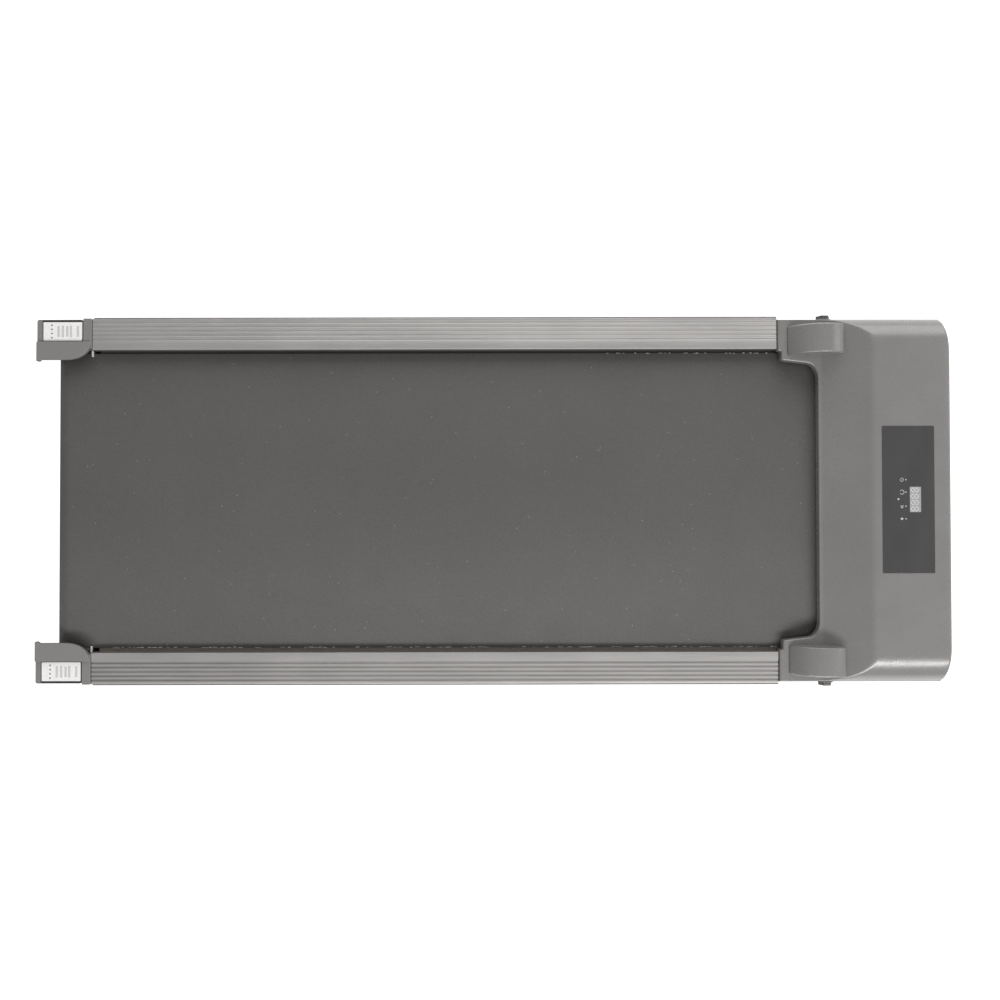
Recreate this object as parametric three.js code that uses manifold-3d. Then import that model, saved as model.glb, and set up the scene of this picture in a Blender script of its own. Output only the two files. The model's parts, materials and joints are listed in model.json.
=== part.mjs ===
// An under-desk treadmill: a flat walking deck between ribbed aluminium rails, with the
// drive under a low motor hood at the front.
// Millimetres. The floor is z = 0, +X runs forward to the hood and +Y is the left side.

import * as THREE from "three";
import { mergeVertices } from "three/addons/utils/BufferGeometryUtils.js";
import Module from "manifold-3d";

const wasm = await Module();
wasm.setup();

// Driving dimensions.
const GAP = 0.3; // air between pieces that rest on or sit in each other
const REAR = -625; // back of the end caps
const FRONT = 621; // front wall of the hood
const NOSE = 625; // furthest point of the fittings on the front wall
const CLEARANCE = 22; // underside of the frame above the floor

const RAIL_REAR = -549;
const RAIL_FRONT = 387;
const RAIL_INNER = 207; // half width between the rails
const RAIL_OUTER = 250; // half width over the rails
const RAIL_TOP = 96;

const TUBE_INNER = 222; // inner face of the steel side tubes
const TUBE_OUTER = 242;
const TUBE_TOP = 82;
const TUBE_WALL = 2;
const TUBE_REAR = -560;
const TUBE_FRONT = 600;
const SKIRT = { inner: 250.3, outer: 251.6, rear: RAIL_REAR + 0.5, front: 619 };
const SKIRT_TOP = { rail: 93, hood: 76 }; // higher beside the rail than beside the hood

const BELT_HALF = 201;
const BELT_TOP = 84;
const BELT_THICK = 2;
const ROLLER_RADIUS = 22.8;
const LOOP_RADIUS = 25; // outside of the running belt where it turns
const ROLLER_Z = BELT_TOP - LOOP_RADIUS;
const ROLLER_HALF = 203;
const REAR_ROLLER_X = -585;
const FRONT_ROLLER_X = 455;
const AXLE_RADIUS = 8.5;
const AXLE_HALF = TUBE_INNER - GAP;
const BEARING = { outer: 17.5, inner: AXLE_RADIUS + GAP, width: 10 };

const DECK = { rear: -545, front: 420, half: 218, thick: 15, top: BELT_TOP - BELT_THICK - GAP };
const MEMBER = { low: 42, high: 62, length: 40 };

const HOOD_HALF = 247;
const HOOD_TOP = 124;
const HOOD_LOW = 24.6;
const HOOD_WALL = 3;
const ARM_TOP = 98;
const ARM_REAR = 388;
const LIP_X = 443;
const RIDGE_X = 506;

const MOTOR = { x: 535, z: 72, radius: 38, from: 60, to: 190, shaft: 5 };
const PULLEY = { from: 204.5, to: 220, flange: 1.5 };
const PITCH_ROLLER = 28.5;
const PITCH_MOTOR = 14.25;

const WHEEL = { x: 585, z: 25, y: 195, radius: 22, width: 14, axle: 4 };
const FITTING_Z = 50; // height of the inlet, switch and breaker on the front wall

const FINISH = {
  frame: { color: 0x232425, roughness: 0.5, metalness: 0.3 },
  steel: { color: 0xb4b6b8, roughness: 0.35, metalness: 0.9 },
  aluminium: { color: 0xa8a5a3, roughness: 0.45, metalness: 0.7 },
  board: { color: 0x6e5238, roughness: 0.8, metalness: 0.0 },
  belt: { color: 0x5f5d5b, roughness: 0.85, metalness: 0.0 },
  rubber: { color: 0x1d1d1e, roughness: 0.9, metalness: 0.0 },
  hood: { color: 0x86837f, roughness: 0.45, metalness: 0.35 },
  cap: { color: 0x858381, roughness: 0.6, metalness: 0.1 },
  black: { color: 0x1b1c1d, roughness: 0.55, metalness: 0.0 },
  panel: { color: 0x3a383a, roughness: 0.2, metalness: 0.0 },
  label: { color: 0xe4e3e0, roughness: 0.5, metalness: 0.0 },
  nylon: { color: 0xe9e7e2, roughness: 0.5, metalness: 0.0 },
  circuit: { color: 0x24583a, roughness: 0.5, metalness: 0.0 },
  red: { color: 0xa82320, roughness: 0.35, metalness: 0.0 },
};

// Geometry helpers.

// A geometry as a solid that can be joined and cut.
function solidOf(geometry) {
  const bare = geometry.clone();
  bare.deleteAttribute("normal");
  bare.deleteAttribute("uv");
  const merged = mergeVertices(bare, 1e-4);
  const triVerts = new Uint32Array(merged.index.array);
  const vertProperties = merged.attributes.position.array;
  return new wasm.Manifold(new wasm.Mesh({ numProp: 3, vertProperties, triVerts }));
}

// A solid as a flat-shaded geometry.
function geometryOf(solid) {
  const mesh = solid.getMesh();
  const geometry = new THREE.BufferGeometry();
  geometry.setAttribute("position", new THREE.BufferAttribute(mesh.vertProperties, 3));
  geometry.setIndex(new THREE.BufferAttribute(mesh.triVerts, 1));
  const faces = geometry.toNonIndexed();
  faces.computeVertexNormals();
  return faces;
}

const join = (...solids) => solids.reduce((whole, next) => whole.add(next));
const cut = (solid, ...tools) => tools.reduce((left, tool) => left.subtract(tool), solid);

function outline(points) {
  return new THREE.Shape(points.map(([u, v]) => new THREE.Vector2(u, v)));
}

// Which way an outline's u, its v and its depth point, for each extrusion axis.
const BASIS = {
  x: [new THREE.Vector3(0, 1, 0), new THREE.Vector3(0, 0, 1), new THREE.Vector3(1, 0, 0)],
  y: [new THREE.Vector3(1, 0, 0), new THREE.Vector3(0, 0, 1), new THREE.Vector3(0, -1, 0)],
  z: [new THREE.Vector3(1, 0, 0), new THREE.Vector3(0, 1, 0), new THREE.Vector3(0, 0, 1)],
};

// An outline pushed along an axis: (y, z) along x, (x, z) along y, (x, y) along z.
function prism(axis, shape, from, to, curveSegments = 8) {
  const geometry = new THREE.ExtrudeGeometry(shape, {
    depth: to - from,
    bevelEnabled: false,
    curveSegments,
  });
  geometry.applyMatrix4(new THREE.Matrix4().makeBasis(...BASIS[axis]));
  const start = axis === "y" ? to : from;
  const shift = { x: 0, y: 0, z: 0, [axis]: start };
  return geometry.translate(shift.x, shift.y, shift.z);
}

function block(x0, x1, y0, y1, z0, z1) {
  const geometry = new THREE.BoxGeometry(x1 - x0, y1 - y0, z1 - z0);
  return geometry.translate((x0 + x1) / 2, (y0 + y1) / 2, (z0 + z1) / 2);
}

const solidBlock = (...edges) => solidOf(block(...edges));

// A profile of [radius, height] points turned about the y axis.
function turned(profile, segments = 20) {
  return new THREE.LatheGeometry(outline(profile).getPoints(), segments);
}

// A round bar along an axis between two stations, centred on the other two coordinates.
function bar(axis, radius, from, to, a, b, segments = 24) {
  const geometry = new THREE.CylinderGeometry(radius, radius, to - from, segments);
  const middle = (from + to) / 2;
  if (axis === "x") return geometry.rotateZ(-Math.PI / 2).translate(middle, a, b);
  if (axis === "y") return geometry.translate(a, middle, b);
  return geometry.rotateX(Math.PI / 2).translate(a, b, middle);
}

const solidBar = (...sizes) => solidOf(bar(...sizes));

// A rectangle with rounded corners, as an outline.
function roundedRectangle(u0, u1, v0, v1, radius) {
  const shape = new THREE.Shape();
  shape.moveTo(u0 + radius, v0);
  shape.lineTo(u1 - radius, v0);
  shape.absarc(u1 - radius, v0 + radius, radius, -Math.PI / 2, 0, false);
  shape.lineTo(u1, v1 - radius);
  shape.absarc(u1 - radius, v1 - radius, radius, 0, Math.PI / 2, false);
  shape.lineTo(u0 + radius, v1);
  shape.absarc(u0 + radius, v1 - radius, radius, Math.PI / 2, Math.PI, false);
  shape.lineTo(u0, v0 + radius);
  shape.absarc(u0 + radius, v0 + radius, radius, Math.PI, 1.5 * Math.PI, false);
  return shape;
}

// The other side's twin of a left-hand solid.
const mirrored = (solid) => solid.mirror([0, 1, 0]);

const treadmill = new THREE.Group();
treadmill.name = "treadmill";

function assembly(name, x = 0, y = 0, z = 0) {
  const group = new THREE.Group();
  group.name = name;
  group.position.set(x, y, z);
  treadmill.add(group);
  return group;
}

function addPiece(group, name, shape, finish, x = 0, y = 0, z = 0) {
  const geometry = shape.isBufferGeometry ? shape : geometryOf(shape);
  const mesh = new THREE.Mesh(geometry, new THREE.MeshStandardMaterial(FINISH[finish]));
  mesh.name = name;
  mesh.position.set(x, y, z);
  group.add(mesh);
  return mesh;
}

// Adds a left-hand solid and its mirror image as two pieces.
function addPair(group, name, solid, finish) {
  addPiece(group, `${name}_left`, solid, finish);
  addPiece(group, `${name}_right`, mirrored(solid), finish);
}

// Frame.

const BOLT = { x: 464, z: 62, shank: 5, head: 8, flange: 12, seat: SKIRT.outer + 2 * GAP };

// A box tube with a pressed plate along its outer side, joined to it by a bottom flange.
// The bolt bears on a round seat that stands just proud of the plate.
function sideTube() {
  const shape = outline([
    [TUBE_INNER, CLEARANCE],
    [TUBE_OUTER, CLEARANCE],
    [TUBE_OUTER, TUBE_TOP],
    [TUBE_INNER, TUBE_TOP],
  ]);
  const bore = outline([
    [TUBE_INNER + TUBE_WALL, CLEARANCE + TUBE_WALL],
    [TUBE_INNER + TUBE_WALL, TUBE_TOP - TUBE_WALL],
    [TUBE_OUTER - TUBE_WALL, TUBE_TOP - TUBE_WALL],
    [TUBE_OUTER - TUBE_WALL, CLEARANCE + TUBE_WALL],
  ]);
  shape.holes.push(bore);
  const plate = outline([
    [TUBE_OUTER - 1, CLEARANCE],
    [SKIRT.outer, CLEARANCE],
    [SKIRT.outer, SKIRT_TOP.rail],
    [SKIRT.inner, SKIRT_TOP.rail],
    [SKIRT.inner, CLEARANCE + TUBE_WALL],
    [TUBE_OUTER - 1, CLEARANCE + TUBE_WALL],
  ]);
  const tube = solidOf(prism("x", shape, TUBE_REAR, TUBE_FRONT));
  const step = solidBlock(ARM_REAR, SKIRT.front + 5, 249, 260, SKIRT_TOP.hood, SKIRT_TOP.rail + 5);
  const skirt = cut(solidOf(prism("x", plate, SKIRT.rear, SKIRT.front)), step);
  const seat = solidBar("y", BOLT.flange + GAP, SKIRT.inner, BOLT.seat - GAP, BOLT.x, BOLT.z);
  const boltHole = solidBar("y", BOLT.shank + GAP, 232, 260, BOLT.x, BOLT.z);
  return cut(join(tube, skirt, seat), boltHole);
}

// A rectangular tube across the frame, open at both ends.
function crossTube(length, height) {
  const [u, v] = [length / 2, height / 2];
  const shape = outline([
    [-u, -v],
    [u, -v],
    [u, v],
    [-u, v],
  ]);
  const [p, q] = [u - TUBE_WALL, v - TUBE_WALL];
  shape.holes.push(
    outline([
      [-p, -q],
      [-p, q],
      [p, q],
      [p, -q],
    ]),
  );
  return prism("y", shape, -AXLE_HALF, AXLE_HALF);
}

function motorTray() {
  const tray = solidBlock(480, 560, -AXLE_HALF, AXLE_HALF, 30, 32);
  const flange = solidBlock(480, 482, -AXLE_HALF, PULLEY.from - 8, 31, 40);
  return join(tray, flange);
}

function buildFrame() {
  const frame = assembly("frame");
  addPair(frame, "side_tube", sideTube(), "frame");
  const middle = (MEMBER.low + MEMBER.high) / 2;
  const member = crossTube(MEMBER.length, MEMBER.high - MEMBER.low);
  const stations = { rear: -480, centre: -40, front: 395 };
  for (const [place, x] of Object.entries(stations))
    addPiece(frame, `${place}_crossmember`, member.clone(), "frame", x, 0, middle);
  addPiece(frame, "nose_crossmember", crossTube(20, 30), "frame", 586, 0, 67);
  addPiece(frame, "motor_tray", motorTray(), "frame");
  const deckLow = DECK.top - DECK.thick;
  const cushion = turned([
    [0, 0],
    [17, 0],
    [15, (deckLow - MEMBER.high) / 2],
    [17, deckLow - MEMBER.high - 2 * GAP],
    [0, deckLow - MEMBER.high - 2 * GAP],
  ]).rotateX(Math.PI / 2);
  for (const [end, x] of [
    ["rear", stations.rear],
    ["front", stations.front],
  ])
    for (const [side, sign] of [
      ["left", 1],
      ["right", -1],
    ]) {
      const place = [x, sign * 150, MEMBER.high + GAP];
      addPiece(frame, `deck_cushion_${end}_${side}`, cushion.clone(), "rubber", ...place);
    }
}

// Walking deck and running belt.

// The outline of a band round two wheels in the x, z plane, at one distance from them.
function bandOutline(rear, front, clockwise = false) {
  const dx = front.x - rear.x;
  const dz = front.z - rear.z;
  const tilt = Math.atan2(dz, dx);
  const lean = Math.acos((rear.radius - front.radius) / Math.hypot(dx, dz));
  const shape = new THREE.Shape();
  shape.absarc(front.x, front.z, front.radius, tilt - lean, tilt + lean, false);
  shape.absarc(rear.x, rear.z, rear.radius, tilt + lean, tilt - lean + 2 * Math.PI, false);
  const points = shape.getPoints(8);
  return new THREE.Shape(clockwise ? points.reverse() : points);
}

function band(rear, front, thickness, from, to) {
  const grown = (wheel) => ({ ...wheel, radius: wheel.radius + thickness });
  const shape = bandOutline(grown(rear), grown(front));
  shape.holes.push(bandOutline(rear, front, true));
  return prism("y", shape, from, to, 16);
}

function buildDeck() {
  const deck = assembly("deck");
  const plan = roundedRectangle(DECK.rear, DECK.front, -DECK.half, DECK.half, 6);
  const board = prism("z", plan, DECK.top - DECK.thick, DECK.top, 1);
  addPiece(deck, "deck_board", board, "board");
  const radius = LOOP_RADIUS - BELT_THICK;
  const rear = { x: REAR_ROLLER_X, z: ROLLER_Z, radius };
  const front = { x: FRONT_ROLLER_X, z: ROLLER_Z, radius };
  const belt = band(rear, front, BELT_THICK, -BELT_HALF, BELT_HALF);
  addPiece(deck, "running_belt", belt, "belt");
}

// Rollers, their axles and bearings.

// A tube with a seat for a bearing in each end, turned about the y axis.
function rollerShell() {
  const seat = BEARING.width + GAP;
  const bore = BEARING.outer + GAP;
  const end = ROLLER_HALF;
  return turned([
    [bore, -end],
    [ROLLER_RADIUS, -end],
    [ROLLER_RADIUS, end],
    [bore, end],
    [bore, end - seat],
    [bore - 2, end - seat],
    [bore - 2, -end + seat],
    [bore, -end + seat],
    [bore, -end],
  ], 24);
}

function bearingRing() {
  const { inner, outer, width } = BEARING;
  const chamfer = 0.8;
  return turned([
    [inner, 0],
    [outer - chamfer, 0],
    [outer, chamfer],
    [outer, width - chamfer],
    [outer - chamfer, width],
    [inner, width],
    [inner, 0],
  ], 16);
}

function axle(crossHoleY) {
  const rod = solidOf(
    turned([
      [0, -AXLE_HALF],
      [AXLE_RADIUS - 1, -AXLE_HALF],
      [AXLE_RADIUS, -AXLE_HALF + 1],
      [AXLE_RADIUS, AXLE_HALF - 1],
      [AXLE_RADIUS - 1, AXLE_HALF],
      [0, AXLE_HALF],
    ], 16),
  );
  const holes = crossHoleY.map((y) => solidBar("x", TENSION.shank + GAP, -12, 12, y, 0, 12));
  return cut(rod, ...holes);
}

// Adds the drum and its two bearings to the group of its axle.
function addRoller(group, place) {
  addPiece(group, `${place}_roller`, rollerShell(), "steel");
  const seat = ROLLER_HALF - BEARING.width;
  addPiece(group, `${place}_bearing_left`, bearingRing(), "steel", 0, seat, 0);
  addPiece(group, `${place}_bearing_right`, bearingRing(), "steel", 0, -ROLLER_HALF, 0);
}

const TENSION = { y: 215, shank: 4, head: 6.5, rear: -621, front: -556 };

function tensionBolt() {
  const length = TENSION.front - TENSION.rear;
  const profile = turned([
    [0, 0],
    [TENSION.head - 0.8, 0],
    [TENSION.head, 0.8],
    [TENSION.head, 8],
    [TENSION.shank, 8],
    [TENSION.shank, length - 1],
    [TENSION.shank - 1, length],
    [0, length],
  ], 16);
  const socket = solidBar("x", 3.4, -2, 5, 0, 0, 6);
  const bolt = cut(solidOf(profile.rotateZ(-Math.PI / 2)), socket);
  return bolt.translate([TENSION.rear, TENSION.y, ROLLER_Z]);
}

function buildRollers() {
  const rear = assembly("rear_roller_set", REAR_ROLLER_X, 0, ROLLER_Z);
  addPiece(rear, "rear_axle", axle([TENSION.y, -TENSION.y]), "steel");
  addRoller(rear, "rear");
  const front = assembly("front_roller_set", FRONT_ROLLER_X, 0, ROLLER_Z);
  addPiece(front, "front_axle", axle([]), "steel");
  addRoller(front, "front");
  addPiece(front, "roller_pulley", pulley(PITCH_ROLLER, AXLE_RADIUS + 1), "black");
  addPair(assembly("belt_tensioners"), "tension_bolt", tensionBolt(), "steel");
}

// Motor and its belt drive.

// A flanged pulley with a round bore, turned about the y axis.
function pulley(pitch, bore) {
  const { from, to, flange } = PULLEY;
  const [groove, rim] = [pitch - 1.5, pitch + 1.5];
  return turned([
    [bore, from],
    [rim, from],
    [rim, from + flange - 0.5],
    [groove, from + flange],
    [groove, to - flange],
    [rim, to - flange + 0.5],
    [rim, to],
    [bore, to],
    [bore, from],
  ], 28);
}

function motorCan() {
  const { radius, from, to, shaft } = MOTOR;
  const wall = 3;
  const hole = shaft + 1.5;
  return turned([
    [hole, from],
    [radius - 6, from],
    [radius, from + 4],
    [radius, to - 4],
    [radius - 6, to],
    [hole, to],
    [hole, to - wall],
    [radius - wall, to - wall - 3],
    [radius - wall, from + wall + 3],
    [hole, from + wall],
    [hole, from],
  ], 28);
}

function motorRotor() {
  const { radius, from, to, shaft } = MOTOR;
  const core = radius - 12;
  return turned([
    [0, from - 6],
    [shaft, from - 6],
    [shaft, from + 22],
    [core, from + 22],
    [core, to - 22],
    [shaft, to - 22],
    [shaft, PULLEY.to + 1],
    [0, PULLEY.to + 1],
  ], 20);
}

function motorBracket() {
  const { x, z, radius } = MOTOR;
  const saddle = solidBlock(x - 26, x + 24, 80, 170, 32 + GAP, 50);
  return cut(saddle, solidBar("y", radius + GAP, 70, 180, x, z, 56));
}

function driveBelt() {
  const inside = 1.2;
  const rear = { x: FRONT_ROLLER_X, z: ROLLER_Z, radius: PITCH_ROLLER - inside };
  const front = { x: MOTOR.x, z: MOTOR.z, radius: PITCH_MOTOR - inside };
  const edge = PULLEY.flange + 0.5;
  return band(rear, front, 2.4, PULLEY.from + edge, PULLEY.to - edge);
}

function buildDrive() {
  const drive = assembly("drive");
  addPiece(drive, "motor_bracket", motorBracket(), "steel");
  addPiece(drive, "drive_belt", driveBelt(), "rubber");
  const motor = assembly("motor", MOTOR.x, 0, MOTOR.z);
  addPiece(motor, "motor_can", motorCan(), "steel");
  addPiece(motor, "motor_rotor", motorRotor(), "steel");
  addPiece(motor, "motor_pulley", pulley(PITCH_MOTOR, MOTOR.shaft + GAP), "steel");
}

// Electronics under the hood.

function controllerBoard() {
  const [z0, z1] = [38, 39.6];
  const board = solidBlock(490, 560, -200, -62, z0, z1);
  const legs = [496, 554].flatMap((x) =>
    [-194, -68].map((y) => solidBar("z", 3, 32 + GAP, z0 + 0.5, x, y, 12)),
  );
  const capacitors = [-185, -165, -145].map((y) =>
    solidBar("z", 8, z1 - 0.5, z1 + 28, 505, y, 20),
  );
  const relay = solidBlock(522, 542, -190, -174, z1 - 0.5, z1 + 16);
  const choke = solidBlock(515, 549, -130, -100, z1 - 0.5, z1 + 24);
  const plugs = [-90, -76].map((y) => solidBlock(545, 555, y, y + 10, z1 - 0.5, z1 + 9));
  return join(board, ...legs, ...capacitors, relay, choke, ...plugs);
}

function heatsink() {
  const [y0, y1] = [-56, -20];
  const base = solidBlock(490, 560, y0, y1, 32 + GAP, 37);
  const fins = [0, 1, 2, 3, 4, 5].map((i) => {
    const y = y0 + (i * (y1 - y0 - 2)) / 5;
    return solidBlock(490, 560, y, y + 2, 36, 64);
  });
  return join(base, ...fins);
}

function displayBoard() {
  const board = solidBlock(532, 578, -45, 45, 112, 113.6);
  const digits = solidBlock(553, 569, -16, 16, 113, 121.2);
  return join(board, digits);
}

function buildElectronics() {
  const electronics = assembly("electronics");
  addPiece(electronics, "controller_board", controllerBoard(), "circuit");
  addPiece(electronics, "controller_heatsink", heatsink(), "aluminium");
  addPiece(electronics, "display_board", displayBoard(), "circuit");
}

// Motor hood.

const BROW = { x: 610, start: 75 }; // where the front wall leans back to meet the flat top
const PANEL = { x0: 516.5, x1: 586, half: 98, thick: 1.8 };
const INLET = { y: -150, half: 14, high: 11 };
const SWITCH = { y: -100, half: 7, high: 11.5, pivotX: 614, swing: 10 };
const BREAKER = { y: -65, barrel: 6, nut: 9, bore: 4.2, button: 3.7 };

// Side view of the hood, shrunk by an inset on its outside.
function hoodProfile(inset) {
  const top = HOOD_TOP - inset;
  const low = inset > 0 ? HOOD_LOW - 10 : HOOD_LOW;
  const face = FRONT - inset;
  const brow = BROW.x - inset;
  const shape = new THREE.Shape();
  shape.moveTo(ARM_REAR + inset, low);
  shape.lineTo(face, low);
  shape.lineTo(face, BROW.start);
  shape.quadraticCurveTo(face - 1, BROW.start + 25, brow, top - 6);
  shape.quadraticCurveTo(brow - 1, top, brow - 7, top);
  shape.lineTo(RIDGE_X + 8, top);
  shape.quadraticCurveTo(RIDGE_X, top, RIDGE_X - 8, top - 3.4);
  shape.lineTo(LIP_X + 3, ARM_TOP - inset);
  shape.lineTo(ARM_REAR + inset, ARM_TOP - inset);
  return shape;
}

// Front view of the hood: a flat top that rolls down to upright sides.
function hoodSection(inset) {
  const half = HOOD_HALF - inset;
  const low = HOOD_LOW - 20;
  const top = HOOD_TOP - inset;
  const roll = 34 - inset;
  const shape = new THREE.Shape();
  shape.moveTo(-half, low);
  shape.lineTo(half, low);
  shape.lineTo(half, top - roll);
  shape.absarc(half - roll, top - roll, roll, 0, Math.PI / 2, false);
  shape.lineTo(-half + roll, top);
  shape.absarc(-half + roll, top - roll, roll, Math.PI / 2, Math.PI, false);
  return shape;
}

// Top view of the hood: a U whose two arms reach back along the belt.
function hoodPlan(inset) {
  const half = HOOD_HALF - inset;
  const face = FRONT - inset;
  const corner = { x: 18, y: 34 };
  const armInner = 188 + inset;
  const lip = LIP_X + inset;
  const shape = new THREE.Shape();
  shape.moveTo(ARM_REAR + inset, -half);
  shape.lineTo(face - corner.x, -half);
  shape.absellipse(face - corner.x, -half + corner.y, corner.x, corner.y, -Math.PI / 2, 0, false, 0);
  shape.absellipse(face - corner.x, half - corner.y, corner.x, corner.y, 0, Math.PI / 2, false, 0);
  for (const side of [1, -1]) {
    const arm = [
      [ARM_REAR + inset, side * half],
      [ARM_REAR + inset, side * (armInner + 16)],
      [ARM_REAR + inset + 5, side * (armInner + 14)],
      [ARM_REAR + inset + 9, side * (armInner + 2)],
      [lip - 14, side * armInner],
      [lip - 4, side * (armInner - 8)],
      [lip, side * (armInner - 22)],
    ];
    if (side < 0) arm.reverse();
    for (const [x, y] of arm) shape.lineTo(x, y);
  }
  return shape;
}

function hoodSolid(inset) {
  const wide = HOOD_HALF + 10;
  const profile = solidOf(prism("y", hoodProfile(inset), -wide, wide, 5));
  const section = solidOf(prism("x", hoodSection(inset), ARM_REAR - 10, FRONT + 10, 4));
  const plan = solidOf(prism("z", hoodPlan(inset), HOOD_LOW - 20, HOOD_TOP + 10, 3));
  return profile.intersect(section).intersect(plan);
}

function motorHood() {
  const shell = cut(hoodSolid(0), hoodSolid(HOOD_WALL));
  const beltWay = solidBlock(ARM_REAR - 10, 500, -244.2, 244.2, 0, 88);
  const pocket = solidBlock(
    PANEL.x0 - GAP,
    PANEL.x1 + GAP,
    -PANEL.half - GAP,
    PANEL.half + GAP,
    HOOD_TOP - PANEL.thick - GAP,
    HOOD_TOP + 5,
  );
  const window = solidBlock(552, 570, -17, 17, 118, HOOD_TOP);
  const boltHoles = solidBar("y", BOLT.shank + GAP, -260, 260, BOLT.x, BOLT.z);
  const [lowZ, highZ] = [FITTING_Z - 11.8, FITTING_Z + 11.8];
  const hole = (fit) =>
    solidBlock(600, 640, fit.y - fit.half - GAP, fit.y + fit.half + GAP, lowZ, highZ);
  const breakerHole = solidBar("x", BREAKER.barrel + GAP, 600, 640, BREAKER.y, FITTING_Z);
  const openings = [hole(INLET), hole(SWITCH), breakerHole];
  return cut(shell, beltWay, pocket, window, boltHoles, ...openings);
}

// The shallow tray that closes the hood from below, with a fork for each wheel.
function bellyPan() {
  const [rear, face, half] = [440, FRONT + 1.5, SKIRT.outer];
  const [low, floor, rim] = [13, 15.5, CLEARANCE - GAP];
  const tray = solidOf(prism("z", roundedRectangle(rear, face, -half, half, 7), low, rim, 2));
  const hollow = roundedRectangle(rear + 2.5, face - 2.5, -half + 2.5, half - 2.5, 3);
  const shell = cut(tray, solidOf(prism("z", hollow, floor, rim + 5, 2)));
  const lip = solidBlock(face - 2.5, face, -HOOD_HALF + 20, HOOD_HALF - 20, floor, HOOD_LOW - GAP);
  const additions = [lip];
  const openings = [];
  for (const side of [1, -1]) {
    const y = side * WHEEL.y;
    for (const offset of [-10.5, 10.5]) {
      const wall = [y + offset - 1.6, y + offset + 1.6];
      additions.push(solidBlock(WHEEL.x - 13, WHEEL.x + 13, ...wall, floor - 1, WHEEL.z + 9));
    }
    const slot = [y - 8.7, y + 8.7];
    openings.push(solidBlock(WHEEL.x - 25, WHEEL.x + 25, ...slot, 0, floor + 1));
    openings.push(solidBar("y", WHEEL.axle + GAP, y - 16, y + 16, WHEEL.x, WHEEL.z, 12));
  }
  return cut(join(shell, ...additions), ...openings);
}

// A half-round cap over the bolted joint of a handrail upright.
function pivotCover() {
  const [rear, front, crownX, radius] = [399, 471, 446, 54];
  const centre = HOOD_TOP - radius;
  const start = Math.acos((front - crownX) / radius);
  const end = Math.acos((rear - crownX) / radius);
  const profile = new THREE.Shape();
  profile.moveTo(rear, ARM_TOP - 10);
  profile.lineTo(front, ARM_TOP - 10);
  profile.absarc(crownX, centre, radius, start, end, false);
  const body = solidOf(prism("y", profile, 195, 242, 10));
  const sides = roundedRectangle(rear - 1, front + 1, 199.3, 238.7, 5);
  const plan = solidOf(prism("z", sides, 60, 140, 4));
  return cut(body.intersect(plan), hoodSolid(-GAP));
}

function handrailBolt() {
  const { shank, head, flange } = BOLT;
  const { seat } = BOLT;
  const profile = turned([
    [0, 233],
    [shank, 233],
    [shank, seat],
    [flange, seat],
    [flange, seat + 1.4],
    [head, seat + 2.4],
    [head, seat + 6],
    [head - 1, seat + 7],
    [0, seat + 7],
  ]);
  const socket = solidBar("y", 4.6, seat + 2, seat + 15, 0, 0, 6);
  return cut(solidOf(profile), socket).translate([BOLT.x, 0, BOLT.z]);
}

function buildHood() {
  const hood = assembly("hood");
  addPiece(hood, "motor_hood", motorHood(), "hood");
  addPiece(hood, "belly_pan", bellyPan(), "black");
  const { x0, x1, half, thick } = PANEL;
  const panel = prism("z", roundedRectangle(x0, x1, -half, half, 2), HOOD_TOP - thick, HOOD_TOP, 1);
  addPiece(hood, "control_panel", panel, "panel");
  addPair(hood, "pivot_cover", pivotCover(), "hood");
  addPair(hood, "handrail_bolt", handrailBolt(), "steel");
}

// Fittings on the front wall.

function powerInlet() {
  const { y, half, high } = INLET;
  const z = FITTING_Z;
  const flange = solidOf(
    prism("x", roundedRectangle(y - half - 4, y + half + 4, z - high - 3, z + high + 3, 3),
      FRONT + GAP, FRONT + 2, 4),
  );
  const body = solidBlock(600, FRONT + 1, y - half, y + half, z - high, z + high);
  const socket = solidOf(
    prism("x", roundedRectangle(y - 12, y + 12, z - 8, z + 8, 3), 605, FRONT + 5, 4),
  );
  const pins = [-7, 0, 7].map((offset) => {
    const middle = z + (offset ? -2 : 2);
    return solidBlock(604, 617, y + offset - 1, y + offset + 1, middle - 2, middle + 2);
  });
  return join(cut(join(flange, body), socket), ...pins);
}

function switchHousing() {
  const { y, half, high } = SWITCH;
  const z = FITTING_Z;
  const flange = solidBlock(FRONT + GAP, FRONT + 2, y - half - 2, y + half + 2, z - high - 2, z + high + 2);
  const body = solidBlock(600, FRONT + 1, y - half, y + half, z - high, z + high);
  const well = solidBlock(603, FRONT + 5, y - half + 1.2, y + half - 1.2, z - high + 1.4, z + high - 1.4);
  return cut(join(flange, body), well);
}

// The paddle of the switch about its pivot, with two faces in a shallow V.
function rockerPaddle() {
  const shape = new THREE.Shape();
  shape.moveTo(4, 0);
  shape.lineTo(6.6, 8);
  shape.lineTo(2, 8);
  shape.quadraticCurveTo(-6, 6, -7, 0);
  shape.quadraticCurveTo(-6, -6, 2, -8);
  shape.lineTo(6.6, -8);
  return prism("y", shape, -5.2, 5.2, 6);
}

function breakerHousing() {
  const { barrel, nut, bore } = BREAKER;
  return turned([
    [bore, 0],
    [barrel, 0],
    [barrel, 21 + GAP],
    [nut, 21 + GAP],
    [nut, 22.4],
    [nut - 0.6, 23],
    [bore, 23],
    [bore, 0],
  ], 16).rotateZ(-Math.PI / 2);
}

function breakerButton() {
  const radius = BREAKER.button;
  return turned([
    [0, 0],
    [radius, 0],
    [radius, 20],
    [radius - 0.8, 21],
    [0, 21],
  ], 16).rotateZ(-Math.PI / 2);
}

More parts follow.
